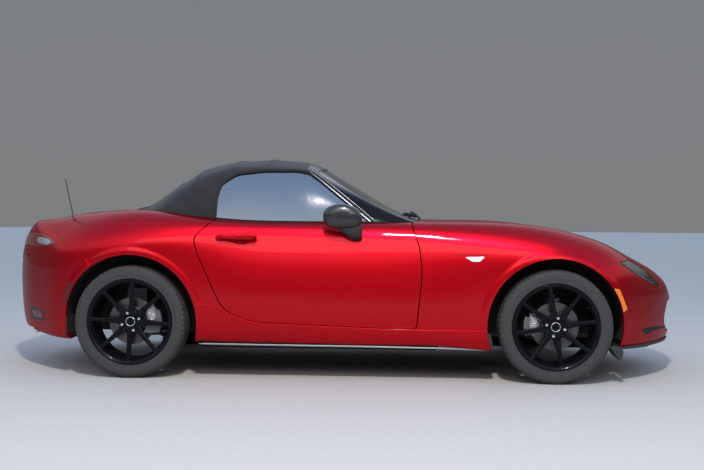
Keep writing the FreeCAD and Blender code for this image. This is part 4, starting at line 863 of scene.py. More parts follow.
def tyre_piece(tag, at, out, body):
    """The tyre, with sipes and shoulder slots cut as steps into its crown."""
    outer, inner = ([(-s, r) for s, r in half[::-1]] for half in (TREAD_HALF, INNER_HALF))
    prof = TREAD_HALF + outer + INNER_HALF + [(0.0, 0.2970)] + inner
    P, Q = revolve(prof, TYRE_STEPS, at, out)
    rel = P - np.array(at)
    s, r = np.abs(rel[:, 1] * out), np.hypot(rel[:, 0], rel[:, 2])
    turn = np.arctan2(rel[:, 2], rel[:, 0]) / (2 * math.pi) * BLOCKS
    slot = (s > 0.0600) & (s < 0.0955) & (r > 0.288) & ((turn + s * 9.0) % 1.0 < 0.20)
    sipe = (s < 0.0415) & (s > 0.0180) & (r > 0.304) & ((turn + 0.5 - s * 16.0) % 1.0 < 0.14)
    grow = (r - np.where(slot, 0.0045, np.where(sipe, 0.003, 0.0))) / r
    P[:, 0], P[:, 2] = at[0] + rel[:, 0] * grow, at[2] + rel[:, 2] * grow
    ob = add_mesh("tyre_" + tag + "_tread", P, Q, body=body, mat=TYRE)
    ob.data.set_sharp_from_angle(angle=math.radians(28))
    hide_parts("tyre_" + tag)


def spoke(at, out, turn):
    c, s = math.cos(turn), math.sin(turn)
    stations = []
    for r, w, y, d in SPOKE:
        section = [(-0.50, -0.0085), (-0.42, -0.0022), (-0.16, 0.0), (0.16, 0.0), (0.42, -0.0022), (0.50, -0.0085),
                   (0.34, -d), (-0.34, -d)]
        stations.append([(at[0] + r * c - q * w * s, at[1] + out * (y + h), at[2] + r * s + q * w * c)
                         for q, h in section])
    return rings(stations)


def hex_nut(x, z, at, out, r=0.0095, s0=0.058, s1=0.0745):
    levels = ((r, s0), (r, s1 - 0.002), (r * 0.82, s1), (r * 0.45, s1 + 0.0005), (r * 0.40, s1 - 0.006))
    return rings([np.insert(circle(6) * q + [at[0] + x, at[2] + z], 1, at[1] + out * s, axis=1) for q, s in levels])


def caliper(tag, x, y, aim, body):
    """The outer half of a brake caliper, bolted beside the disc."""
    out = 1.0 if y > 0 else -1.0
    parts = []
    aim = math.radians(aim)
    for lo, hi, r0, r1, s0, s1 in ((-21, 21, 0.100, 0.147, 0.0270, 0.0400), (-13, 13, 0.096, 0.138, 0.0400, 0.0455),
                                   (-24, 24, 0.1340, 0.1490, -0.0100, 0.0300)):
        w = aim + np.radians(np.linspace(lo, hi, 14))
        arc = np.stack([np.cos(w), np.sin(w)], 1)
        sec = np.concatenate([r1 * arc, r0 * arc[::-1]]) + [x, TR]
        levels = ((s0, 0.97), (s0 + 0.0015, 1.0), (s1 - 0.003, 1.0), (s1, 0.93))
        parts.append(extrude(sec, [(y + out * s, k) for s, k in levels], centre=sec.mean(0)))
    for d in (-9, 9):
        a = aim + math.radians(d)
        parts.append(revolve(PISTON, 28, (x + 0.118 * math.cos(a), y, TR + 0.118 * math.sin(a)), out, closed=False))
    for d in (-27, 27):
        a = aim + math.radians(d)
        parts.append(hex_nut(0.128 * math.cos(a), 0.128 * math.sin(a), (x, y, TR), out, 0.0075, 0.018, 0.030))
    solid("caliper_" + tag, parts, CALIPER, body, 32, 0.0012)


def wheel(tag, x, y, base):
    """A wheel whose first spoke stands base degrees from level."""
    out = 1.0 if y > 0 else -1.0
    at, body = (x, y, TR), "wheel_" + tag

    def around(degrees):
        a = math.radians(base + degrees)
        return a if out < 0 else math.pi - a

    tyre_piece(tag, at, out, body)
    rim = solid("rim_" + tag + "_spokes", [revolve(BARREL, 128, at, out), revolve(HUB, 96, at, out)] +
                [spoke(at, out, around(45 * k)) for k in range(8)], RIM, body, 30, 0.0012)
    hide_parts("rim_" + tag)
    turns = [around(67.5 + 90 * k) for k in range(4)]
    solid("wheel_nuts_" + tag, [hex_nut(NUT_RADIUS * math.cos(a), NUT_RADIUS * math.sin(a), at, out) for a in turns],
          CHROME, body, 25)
    solid("wheel_cap_" + tag, revolve(CAP, 48, at, out), RIM, body, 32)
    solid("wheel_cap_ring_" + tag, revolve(CAP_RING, 64, at, out), CHROME, body, 32)
    solid("brake_disc_" + tag, revolve(ROTOR, 96, at, out), ROTOR_METAL, body, 25)
    a = around(22.5)
    foot = (x + VALVE_RADIUS * math.cos(a), y, TR + VALVE_RADIUS * math.sin(a))
    solid("valve_" + tag, revolve(VALVE, 14, foot, out), SEAL, body, 32)


for tag, x, y, base, aim, carrier in (
        ("front_right", FX, -FRONT_Y, 9.0, 176, "right_knuckle"),
        ("front_left", FX, FRONT_Y, 24.0, 176, "left_knuckle"), ("rear_right", RX, -REAR_Y, -48.0, 20, "chassis"),
        ("rear_left", RX, REAR_Y, 33.0, 20, "chassis")):
    wheel(tag, x, y, base)
    caliper(tag, x, y, aim, carrier)

# ---------------------------------------------------------------- places on the surfaces
class Finder:
    """Finds the point of a surface that shows at a given place in one view."""

    def __init__(self, surf, v0, v1, count=420):
        u, v = np.meshgrid(np.linspace(0, 1, count), np.linspace(v0, v1, count), indexing="ij")
        self.surf, self.uv = surf, np.stack([u.ravel(), v.ravel()], 1)
        self.p = surf.point_normal(self.uv[:, 0], self.uv[:, 1])[0]

    def at(self, q, axes=(0, 2)):
        q, axes, e = np.atleast_2d(np.asarray(q, float)), list(axes), 1e-5
        uv = np.array([self.uv[np.argmin(((self.p[:, axes] - k) ** 2).sum(1))] for k in q])
        for _ in range(8):
            p = self.surf.point_normal(uv[:, 0], uv[:, 1])[0][:, axes]
            a = (self.surf.point_normal(np.minimum(uv[:, 0] + e, 1), uv[:, 1])[0][:, axes] - p) / e
            b = (self.surf.point_normal(uv[:, 0], uv[:, 1] + e)[0][:, axes] - p) / e
            det = a[:, 0] * b[:, 1] - a[:, 1] * b[:, 0]
            det = np.where(np.abs(det) < 1e-9, 1e-9, det)
            r = q - p
            step_u = (r[:, 0] * b[:, 1] - r[:, 1] * b[:, 0]) / det
            step_v = (a[:, 0] * r[:, 1] - a[:, 1] * r[:, 0]) / det
            uv = np.clip(uv + np.clip(np.stack([step_u, step_v], 1), -0.01, 0.01), 0, 1)
        return self.surf.point_normal(uv[:, 0], uv[:, 1])


flank, canopy = Finder(hull, 0.0, 0.5), Finder(top, 0.0, 0.5)
deck, crown = Finder(hull, 0.2, 0.8), Finder(top, 0.0, 1.0)
FROM_ABOVE = (0, 1)


def lie(finder, corners, gap=0.008, axes=(0, 2), closed=False):
    """Points and normals of a surface, along a line drawn in one view."""
    return finder.at(even(corners, gap, closed), axes)


def patch(name, corners, lift, mat, edge=0.0012, depth=0.004, h=0.006, extra=()):
    """A thin moulded piece on both flanks, inside an outline in the side view."""
    poly = outline(corners)
    lo, hi = poly[:, 0].min(), poly[:, 0].max()
    u, v = span(hull, lo, hi, max(10, int((hi - lo + 0.06) * 1.12 / h)), 0.0, 0.5, int(1.75 / h))
    sheet = Sheet(hull, lift, u, v, None, h).keep(side(poly, -edge), *extra)
    return add_mesh(name, *sheet.mesh(edge, depth), mat=mat)


# ---------------------------------------------------------------- soft top
# a grid of the deck's height, with its cell and its corner
CELL, FAR_BACK, FAR_RIGHT = 0.006, -2.0, -0.9
gu, gv = np.meshgrid(np.linspace(0.3, 1, 900), np.linspace(0.12, 0.88, 500), indexing="ij")
hp = hull.point_normal(gu.ravel(), gv.ravel())[0]
gx, gy = np.floor((hp[:, 0] - FAR_BACK) / CELL).astype(int), np.floor((hp[:, 1] - FAR_RIGHT) / CELL).astype(int)
HEIGHT = np.full((int(3.2 / CELL), int(1.8 / CELL)), -1.0)
ok = (gx >= 0) & (gx < HEIGHT.shape[0]) & (gy >= 0) & (gy < HEIGHT.shape[1])
np.maximum.at(HEIGHT, (gx[ok], gy[ok]), hp[ok, 2])
for _ in range(3):
    near = np.maximum.reduce([np.roll(HEIGHT, k, a) for k in (-1, 1) for a in (0, 1)])
    HEIGHT = np.where(HEIGHT < 0, near, HEIGHT)


def over_deck(sink):
    """Above 0 over the painted deck, whose height is kept in a grid."""
    def f(p):
        a = np.clip((p[:, 0] - FAR_BACK) / CELL - 0.5, 0, HEIGHT.shape[0] - 2)
        b = np.clip((p[:, 1] - FAR_RIGHT) / CELL - 0.5, 0, HEIGHT.shape[1] - 2)
        i, j = a.astype(int), b.astype(int)
        s, t = a - i, b - j
        z = (HEIGHT[i, j] * (1 - s) * (1 - t) + HEIGHT[i + 1, j] * s * (1 - t)
             + HEIGHT[i, j + 1] * (1 - s) * t + HEIGHT[i + 1, j + 1] * s * t)
        return p[:, 2] - np.where(z < 0, 0.85, z) + sink
    return f


# where the bows of the frame cross under the cloth
BOWS = [-0.168, -0.395, -0.595, -0.800, -0.955]


def drape(p):
    """Cloth sinks a little between the bows, and pulls in small folds over the rear corners."""
    x, y, z = p[:, 0], np.abs(p[:, 1]), p[:, 2]
    d = np.zeros(len(p))
    for a, b in zip(BOWS[1:], BOWS[:-1]):
        t = np.clip((x - a) / (b - a), 0, 1)
        d -= 0.0042 * np.sin(math.pi * t) ** 1.3 * step((z - 0.98) / 0.14)
    for c in BOWS[1:-1]:
        d += 0.0012 * np.exp(-((x - c) / 0.010) ** 2) * step((z - 1.0) / 0.1)
    corner = step((-0.66 - x) / 0.12) * step((y - 0.40) / 0.15)
    d += 0.0014 * corner * np.sin((z + 0.55 * x) * 70 + 3 * y)
    return d - 0.0012 * step((-0.95 - x) / 0.1) * step((x + 1.40) / 0.1) * step((0.36 - y) / 0.1)


def roof_net(lift, relief, h):
    u, v = span(top, -1.31, -0.15, int(1.35 / h), 0.0, 1.0, int(2.35 / h))
    return Sheet(top, lift, u, v, relief, h)


def area(P, T):
    a, b, c = P[T].transpose(1, 0, 2)
    return round(float(np.linalg.norm(np.cross(b - a, c - a), axis=1).sum() / 2), 2)


cloth = roof_net(0.0, drape, 0.010).keep(half_space(0, -0.1665, -1.0), off(side(WINDOW, 0.010)),
                                         off(plan(REAR_GLASS, -0.006)), over_deck(0.012))
P, T, N = cloth.mesh(0.004, 0.010, both=False)
roof = add_mesh("soft_top_cloth", P, T, N, mat=CLOTH)
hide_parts("soft_top")
area(P, T)
lining = roof_net(-0.0165, None, 0.030).keep(half_space(0, -0.175, -1.0), off(side(WINDOW, 0.020)),
                                             off(plan(REAR_GLASS, 0.010)), over_deck(0.0))
P, T, N = lining.mesh(0.001, 0.0, both=False)
inner_cloth = add_mesh("soft_top_lining", P, T, -N, mat=LINING)
area(P, T)

# welts sewn over the bows and down the rear corners, and the frame's tubes inside
HALF_WELT, WELT_END = 0.545, 0.045
welts, bows = [], []
for x in BOWS[1:]:
    P, N = crown.at(np.insert(np.linspace(-0.50, 0.50, 24)[:, None], 0, x, axis=1), FROM_ABOVE)
    bows.append(tube(P - N * 0.030, 0.009, 10))
for x in BOWS[1:-1]:
    P, N = crown.at(np.insert(np.linspace(-HALF_WELT, HALF_WELT, 60)[:, None], 0, x, axis=1), FROM_ABOVE)
    end = WELT_END / (2 * HALF_WELT)
    welts.append(sweep(P + N * 0.0008, N, band(0.011, 0.0016, 0.0007), taper=([0, end, 1 - end, 1], [0.3, 1, 1, 0.3])))
welts.append(both(sweep(*lie(canopy, [(-0.800, 1.115), (-0.803, 1.033), (-0.796, 0.960), (-0.788, 0.905)], 0.01),
                        band(0.010, 0.0016, 0.0007))))
solid("soft_top_welts", welts, CLOTH, angle=50)
solid("soft_top_bows", bows, BLACK_PLASTIC, angle=50)

# ---------------------------------------------------------------- glazing trim
ring = outline([(-662, 862), (-658, 985, 60), (-636, 1070, 70), (-560, 1122, 120), (-400, 1142, 400), (-215, 1143, 60),
                (-150, 1130, 40), (-140, 1122)], arc=10)[:-1]
solid("window_seals", both(sweep(*lie(canopy, ring), band(0.015, 0.0042, 0.0018, -0.006), shift=0.0068)), SEAL)
pillar = lie(canopy, [(-0.150, 1.130), (-0.10, 1.0935), (0.0, 1.0135), (0.10, 0.9335), (0.196, 0.8535)])
solid("pillar_gaskets", both(sweep(*pillar, band(0.030, 0.0035, 0.0014, -0.006), shift=0.0150)), SEAL)
solid("pillar_strips", both(sweep(*pillar, band(0.0060, 0.0062, 0.0016, 0.002), shift=0.0085)), SATIN)
solid("pillar_beads", both(sweep(*pillar, band(0.0030, 0.0060, 0.0010, 0.002), shift=0.0285)), SATIN)
belt = sweep(*lie(deck, [(-0.655, -0.7130), (0.30, -0.7130)], 0.02, FROM_ABOVE), band(0.016, 0.0060, 0.0025, -0.006))
for tag, turn in SIDES:
    solid("belt_seal_" + tag, turn(belt), SEAL, tag + "_door")
rim_line = lie(crown, outline(REAR_GLASS_CORNERS, arc=8), 0.012, FROM_ABOVE, closed=True)
solid("rear_window_surround", sweep(*rim_line, band(0.020, 0.0030, 0.0012, -0.008), closed=True), SEAL)

# ---------------------------------------------------------------- wipers
BLADE = [(-0.003, 0.0), (-0.0075, 0.010), (-0.0060, 0.019), (0.0, 0.022), (0.0060, 0.019), (0.0075, 0.010),
         (0.003, 0.0)]
wipers = []
for a, b, pivot in (((0.372, -0.560), (0.452, -0.060), (0.475, -0.300)),
                    ((0.420, -0.020), (0.405, 0.480), (0.475, 0.170))):
    P, N = lie(crown, [a, b], 0.012, FROM_ABOVE)
    wipers.append(sweep(P, N, BLADE, taper=([0, 0.06, 0.94, 1], [0.5, 1, 1, 0.5])))
    mid = P[len(P) // 2] + N[len(P) // 2] * 0.028
    root = crown.at([pivot], FROM_ABOVE)[0][0] + [0, 0, 0.010]
    wipers.append(tube([root, root * 0.4 + mid * 0.6 + [0, 0, 0.004], mid], [0.0065, 0.0052, 0.0042], 10))
solid("wipers", wipers, BLACK_PLASTIC)

# ---------------------------------------------------------------- lamps, markers, trim on the body
patch("front_markers", [(1500, 523, 6), (1540, 513, 8), (1588, 407, 8), (1560, 386, 6)], 0.0062, AMBER, 0.002,
      extra=(round_hole(FX, ARCH + 0.002),))
patch("rear_markers", [(-1408, 519, 8), (-1462, 522, 8), (-1496, 402, 8), (-1452, 392, 6)], 0.0062, RED_LENS, 0.002,
      extra=(round_hole(RX, ARCH + 0.002),))
patch("wing_repeaters", [(709, 680, 3), (824, 684, 3), (790, 655, 6), (752, 656, 8)], 0.0030, LAMP_WHITE, 0.0015)
# a flat near-black sheet on each bumper corner: the intake's black inside, and painted shade of its recess
patch("side_intake_trim_and_shade", [(1690, 284, 4), (1760, 292, 30), (1902, 272, 4), (1884, 255, 4), (1722, 253, 6)], 0.0018, SEAL,
      0.0006, h=0.004)
patch("intake_ledges", [(1752, 266, 4), (1896, 268, 3), (1884, 256, 3), (1766, 254, 4)], 0.0040, PAINT, 0.0014, h=0.003)
patch("tail_lamp_lenses", [(-1545, 730, 4), (-1600, 752, 20), (-1700, 778, 20), (-1905, 778), (-1905, 712),
                           (-1700, 708, 20), (-1600, 712, 20)], 0.0040, RED_LENS, 0.0025, 0.006)
patch("tail_lamp_rings", [(-1588, 731, 10), (-1622, 748, 16), (-1705, 758, 20), (-1735, 742, 10), (-1705, 722, 16),
                          (-1622, 716, 16)], 0.0058, SATIN, 0.002)
# a flat black sheet round each rear reflector: painted shade of the recess it sits in
patch("rear_reflector_recess_shades", [(-1640, 352, 10), (-1775, 354, 6), (-1775, 284, 6), (-1650, 282, 12)], 0.0022,
      BLACK_PLASTIC)
patch("rear_reflectors", [(-1656, 336, 8), (-1762, 338, 6), (-1740, 300, 10), (-1660, 298, 8)], 0.0045, RED_LENS, 0.002)
# a white patch behind the headlamp lens at its upper rear: a reflector, coloured plain white as a painted highlight of
# the lens
patch("headlamp_reflector_highlights", [(1550, 650, 4), (1606, 655, 6), (1650, 636, 8), (1600, 622, 8), (1562, 634, 6)], -0.0080,
      LAMP_WHITE, 0.001)
# a thin dark band along the crease over each repeater: painted shade of the crease
solid("repeater_crease_shade", both(sweep(*lie(flank, [(0.588, 0.6935), (0.720, 0.6890), (0.838, 0.6880)]),
                                     band(0.0032, 0.0014, 0.0006, -0.003), taper=([0, 0.5, 0.9, 1], [0.2, 1, 1, 0.4]))),
      SEAL, angle=50)
CREASE = [(-0.012, -0.001), (-0.006, 0.0012), (-0.001, 0.0026), (0.002, 0.0026), (0.006, 0.0008), (0.008, -0.001)]
for name, line in (("bumper_creases", [(1.846, 0.466), (1.754, 0.408), (1.680, 0.361), (1.628, 0.331)]),
                   ("rear_creases", [(-1.752, 0.402), (-1.700, 0.372), (-1.636, 0.334)])):
    solid(name, both(sweep(*lie(flank, line), CREASE, taper=([0, 0.2, 0.8, 1], [0.3, 1, 1, 0.3]))), PAINT, angle=50)

# door handles: a bar that swells out of the door over a shallow cup
grip = even(outline([(-641, 776, 8), (-560, 791, 60), (-430, 800, 20), (-407, 782, 10), (-430, 764, 20),
                     (-560, 763, 60)],
                    arc=5), 0.004, True)
spine_x = np.clip(grip[:, 0], -0.630, -0.424)
spine = np.stack([spine_x, 0.7765 + (spine_x + 0.630) * 0.0267], 1)
handle = extrude(grip, ((-0.836, 0.90), (-0.841, 0.98), (-0.8500, 1.05), (-0.8575, 1.05), (-0.8605, 1.00),
                        (-0.8628, 0.90), (-0.8648, 0.72), (-0.8660, 0.46), (-0.8665, 0.20), (-0.8666, 0.02)),
                 centre=spine)
for tag, turn in SIDES:
    solid("door_handle_" + tag, turn(handle), PAINT, tag + "_door", 60)

# bright strips under the sills, and the flaps round the wheels
line = even([(-0.735, 0.199), (-0.40, 0.1975), (0.20, 0.1955), (0.60, 0.192), (0.842, 0.186)], 0.02) - [0, 0.0095]
solid("sill_strips", both(sweep(np.insert(line, 1, -0.7985, axis=1), np.tile([0, -1.0, 0], (len(line), 1)),
                                band(0.0085, 0.004, 0.002, -0.012), taper=([0, 0.02, 0.98, 1], [0.4, 1, 1, 0.4]))),
      SATIN)
for name, flap, places in (
        ("wheel_deflectors", [(1.478, 0.212), (1.552, 0.204), (1.566, 0.178), (1.556, 0.134), (1.545, 0.132),
                              (1.505, 0.186)],
         (-0.815, -0.79, -0.66, -0.60)),
        ("sill_end_flaps", [(0.822, 0.262), (0.858, 0.262), (0.868, 0.215), (0.874, 0.182), (0.860, 0.176),
                            (0.838, 0.186)],
         (-0.800, -0.78, -0.68, -0.66))):
    solid(name, both(extrude(np.array(flap), [(y, 1) for y in places])), BLACK_PLASTIC, angle=30, bevel=0.003)

# ---------------------------------------------------------------- mirrors
MID = np.array([0.055, 0.893])
SHELL = smooth([(-0.052, 0.893), (-0.043, 0.926), (-0.010, 0.951), (0.045, 0.962), (0.100, 0.952), (0.142, 0.925),
                (0.158, 0.885), (0.152, 0.852), (0.120, 0.833), (0.050, 0.827), (-0.015, 0.834), (-0.045, 0.860)], 56,
               True)
# the shell's outline at levels of (y, scale)
SHELL_LEVELS = ((-0.9035, 0.05), (-0.9030, 0.30), (-0.9010, 0.52), (-0.8965, 0.72), (-0.8890, 0.86), (-0.8780, 0.955),
                (-0.8640, 0.995), (-0.8500, 1.0), (-0.8300, 0.985), (-0.8140, 0.955), (-0.8090, 0.935),
                (-0.8080, 0.915), (-0.8110, 0.905), (-0.8150, 0.900), (-0.8155, 0.30))
P, F = extrude(SHELL, SHELL_LEVELS, centre=MID)
wide = np.repeat([k > 0.5 for _, k in SHELL_LEVELS], len(SHELL))
P[:, 1] -= 0.0016 * np.exp(-((P[:, 2] - 0.905) / 0.004) ** 2) * wide
shell_piece = P, F
foot_piece = rings([np.insert([x, y] + circle(36) * [a, b], 2, z, axis=1) for x, y, z, a, b in (
    (0.088, -0.858, 0.868, 0.060, 0.022), (0.090, -0.858, 0.842, 0.071, 0.024), (0.099, -0.852, 0.820, 0.064, 0.026),
    (0.110, -0.843, 0.799, 0.050, 0.027), (0.119, -0.831, 0.782, 0.037, 0.027), (0.125, -0.816, 0.770, 0.028, 0.024),
    (0.127, -0.800, 0.763, 0.022, 0.014))])
pane = extrude(MID + (SHELL - MID) * 0.885,
               ((-0.8150, 0.99), (-0.8118, 1.0), (-0.8108, 0.985), (-0.8104, 0.5), (-0.8103, 0.05)),
               centre=MID)
for tag, turn in SIDES:
    ob = solid("mirror_shell_" + tag, turn(shell_piece), MIRROR_BLACK, tag + "_door", 50)
    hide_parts("mirror_" + tag)
    solid("mirror_foot_" + tag, turn(foot_piece), BLACK_PLASTIC, tag + "_door", 50)
    solid("mirror_pane_" + tag, turn(pane), MIRROR_GLASS, tag + "_door")

# ---------------------------------------------------------------- headlamps: bowls behind the clear lens
AIM = (0.80, -0.52, 0.20)
BOWL = np.array([(-0.018, 0.5), (-0.012, 0.8), (0.0, 1), (0.004, 1.04), (0.006, 1), (0.002, 0.93), (-0.004, 0.86)])
BULB = np.array([(-0.014, 0.84), (-0.002, 0.84), (0.006, 0.72), (0.010, 0.5), (0.0125, 0.25)])
bowls, glow = [], []
for place, r in (((1.632, 0.624), 0.026), ((1.722, 0.586), 0.021)):
    P, N = flank.at([place])
    at = P[0] - N[0] * 0.026
    bowls.append(facing(at, AIM, BOWL * [1, r]))
    glow.append(facing(at, AIM, np.concatenate([BULB * [1, r], [(0.013, 0.0005)]])))
P, N = lie(flank, [(1.562, 0.642), (1.600, 0.616), (1.668, 0.592), (1.745, 0.553), (1.815, 0.515)])
glow.append(sweep(P - N * 0.0085, N, band(0.009, 0.004, 0.0018, -0.004), taper=([0, 0.1, 0.9, 1], [0.4, 1, 1, 0.4])))
solid("headlamp_bowls", both(bowls), CHROME)
solid("headlamp_bulbs", both(glow), LAMP_WHITE)
P, N = lie(flank, [(1.700, 0.610), (1.762, 0.578), (1.822, 0.532)])
solid("headlamp_indicators", both(sweep(P - N * 0.0125, N, band(0.020, 0.004, 0.002, -0.004))), AMBER)
solid("headlamp_gaskets", both(sweep(*lie(flank, outline(LAMP_CORNERS, arc=6), closed=True),
                                     band(0.0045, 0.0016, 0.0006, -0.004), closed=True)), SEAL)

# ---------------------------------------------------------------- wheel-house shields, plate, exhaust ends
shields = []
for axle, y in ((FX, 0.425), (RX, 0.575)):
    w = np.radians(np.linspace(-12, 192, 40))
    arch = np.stack([axle + 0.362 * np.cos(w), TR + 0.362 * np.sin(w)], 1)
    wall = np.concatenate([arch, [[axle - 0.33, 0.235], [axle + 0.33, 0.235]]])
    shields.append(extrude(wall, [(-y, 1), (-y - 0.003, 1)]))
for x, z in ((RX - 0.3640, 0.214), (RX + 0.3745, 0.199), (FX - 0.3745, 0.199)):
    flat = np.array([(-0.80, z), (-0.80, 0.33), (-0.47, 0.33), (-0.47, z)])
    shields.append(extrude(flat, [(x - 0.0015, 1), (x + 0.0015, 1)], axis=0))
solid("wheel_house_shields", both(shields), UNDERSEAL, angle=30)
tray = np.array([(0.56, -0.44), (1.10, -0.45), (1.70, -0.44), (1.80, -0.34), (1.80, 0.34), (1.70, 0.44), (1.10, 0.45),
                 (0.56, 0.44)])
solid("undertray", extrude(tray, ((0.166, 0.99), (0.157, 1.0), (0.1535, 0.995), (0.152, 0.98), (0.1545, 0.93),
                                  (0.1545, 0.10)),
                           axis=2, centre=(1.18, 0)), BLACK_PLASTIC, angle=30)
blank = outline([(-220, 508, 8), (220, 508, 8), (220, 618, 8), (-220, 618, 8)], arc=5)
solid("rear_plate_blank", extrude(blank, ((-1.9205, 1), (-1.9265, 1), (-1.9285, (0.985, 0.955)),
                                          (-1.9290, (0.97, 0.91))),
                                  axis=0, centre=(0, 0.563)), PLATE_WHITE, angle=30)
BOLT = [(0, 0.006), (0.002, 0.006), (0.0030, 0.0045), (0.0032, 0.0005)]
solid("plate_bolts", [facing((-1.929, y, 0.603), (-1, 0, 0), BOLT, 12) for y in (-0.16, 0.16)], STEEL, angle=30)
TIP = [(-0.10, 0.034), (0.0, 0.0405), (0.003, 0.0415), (0.0035, 0.0400), (0.0, 0.0375), (-0.08, 0.0330)]
solid("exhaust_tips", facing((-1.770, -0.395, 0.2345), (-1, 0, -0.04), TIP), CHROME)

# ---------------------------------------------------------------- cabin: seats
SEAT_Y, FRAMES = 0.38, 16


def rounded_box(size, power, cuts=14):
    """A rounded box of mesh, centred, as a BMesh."""
    bm = bmesh.new()
    bmesh.ops.create_cube(bm, size=2.0)
    bmesh.ops.subdivide_edges(bm, edges=bm.edges[:], cuts=cuts, use_grid_fill=True)
    for v in bm.verts:
        c = np.array(v.co)
        k = np.abs(c).max() / (np.abs(c) ** power).sum() ** (1 / power)
        v.co = Vector(c * k * np.array(size) / 2)
    return bm


def bake(ob):
    """The object's mesh as its modifiers leave it."""
    return bpy.data.meshes.new_from_object(ob.evaluated_get(bpy.context.evaluated_depsgraph_get()))


def blow_up(ob, start):
    """Where the points go when the mesh is filled with air as cloth, no further than 10 mm."""
    cl = ob.modifiers.new("cloth", "CLOTH")
    st = cl.settings
    st.quality, st.mass = 4, 0.25
    st.use_pressure, st.uniform_pressure_force = True, 4.0
    st.tension_stiffness = st.compression_stiffness = 25
    st.effector_weights.gravity = 0.0
    cl.point_cache.frame_start, cl.point_cache.frame_end = 1, FRAMES + 4
    for f in range(1, FRAMES + 1):
        bpy.context.scene.frame_set(f)
    d = np.array([v.co for v in bake(ob).vertices]) - start
    bpy.context.scene.frame_set(1)
    ob.modifiers.clear()
    return start + d * np.minimum(1, 0.010 / np.maximum(np.linalg.norm(d, axis=1, keepdims=True), 1e-9))


def pad(name, size, shape, channels, power=4.0):
    """A sewn cushion: rounded form, blown up a little, then drawn in along its seams."""
    bm = rounded_box(size, power)
    for v in bm.verts:
        v.co = Vector(shape(np.array(v.co)))
    me = bpy.data.meshes.new(name)
    bm.to_mesh(me)
    bm.free()
    ob = new_object(name, me)
    rm = ob.modifiers.new("remesh", "REMESH")
    rm.mode, rm.voxel_size, rm.use_smooth_shade = "VOXEL", 0.0095, True
    baked = bake(ob)
    ob.modifiers.clear()
    ob.data = baked
    points = np.array([v.co for v in baked.vertices])
    points = blow_up(ob, points)
    baked.vertices.foreach_set("co", channels(points).astype(np.float32).ravel())
    baked.update()
    return ob


def groove(d, w=0.0055):
    return np.exp(-(d / w) ** 2)


def cushion_shape(c):
    x, y, z = c
    if z > 0:
        z += 0.030 * float(step((abs(y) - 0.120) / 0.075)) - 0.016 * float(step((x - 0.15) / 0.10))
    return x, y, z + 0.10 * x


def cushion_seams(p):
    q = p.copy()
    centre = step((0.150 - np.abs(p[:, 1])) / 0.01)
    g = groove(np.abs(p[:, 1]) - 0.138)
    for x0 in (-0.13, -0.06, 0.01, 0.08, 0.15):
        g = np.maximum(g, 0.7 * centre * groove(p[:, 0] - x0))
    q[:, 2] -= 0.0065 * g * step((p[:, 2] - 0.010) / 0.02)
    return q


def back_shape(c):
    x, y, z = c
    swell = 0.0
    if x > 0:
        swell = 0.042 * float(step((abs(y) - 0.115) / 0.075)) * float(step((0.17 - z) / 0.10)) \
            + 0.012 * math.exp(-((z + 0.16) / 0.10) ** 2)
    return (x * (1 - 0.15 * float(step((z - 0.1) / 0.2))) + swell, y * (1 - 0.22 * float(step((z - 0.10) / 0.16))), z)


def back_seams(p):
    q = p.copy()
    centre = step((0.145 - np.abs(p[:, 1])) / 0.01) * step((0.20 - p[:, 2]) / 0.01)
    g = groove(np.abs(p[:, 1]) - 0.132) * step((0.17 - p[:, 2]) / 0.03)
    for z0 in (-0.22, -0.15, -0.08, -0.01, 0.06, 0.13):
        g = np.maximum(g, 0.7 * centre * groove(p[:, 2] - z0))
    g = np.maximum(g, groove(p[:, 2] - 0.185, 0.006))
    q[:, 0] -= 0.0065 * g * step((p[:, 0] - 0.012) / 0.02)
    return q


base_pad = pad("seat_cushion_right", (0.490, 0.440, 0.120), cushion_shape, cushion_seams)
back_pad = pad("seat_back_right", (0.105, 0.435, 0.640), back_shape, back_seams, 3.6)
lean = Matrix.Rotation(math.radians(-16.5), 4, "Y")
for src, place, lead in ((base_pad, Matrix.Translation((-0.330, 0, 0.268)), "seat_cushion_"),
                         (back_pad, Matrix.Translation((-0.668, 0, 0.622)) @ lean, "seat_back_")):
    src.data.transform(place)
    other = new_object(lead + "left", src.data.copy())
    for ob, y in ((src, -SEAT_Y), (other, SEAT_Y)):
        ob.data.transform(Matrix.Translation((0, y, 0)))
        ob.data.materials.clear()
        ob.data.materials.append(SEAT)
        ob.data.polygons.foreach_set("use_smooth", np.full(len(ob.data.polygons), True))
        ob.data.update()
        ob.modifiers.new("round", "SUBSURF").render_levels = 1
        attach(ob, "chassis")
        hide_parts("seats")
rail = np.array([(-0.56, 0.158), (-0.12, 0.158), (-0.12, 0.172), (-0.14, 0.205), (-0.54, 0.205), (-0.56, 0.172)])
rails = [extrude(rail, [(y + dy - 0.014, 1), (y + dy + 0.014, 1)])
         for y in (-SEAT_Y, SEAT_Y) for dy in (-0.145, 0.145)]
solid("seat_rails", rails, STEEL, angle=25, bevel=0.002)

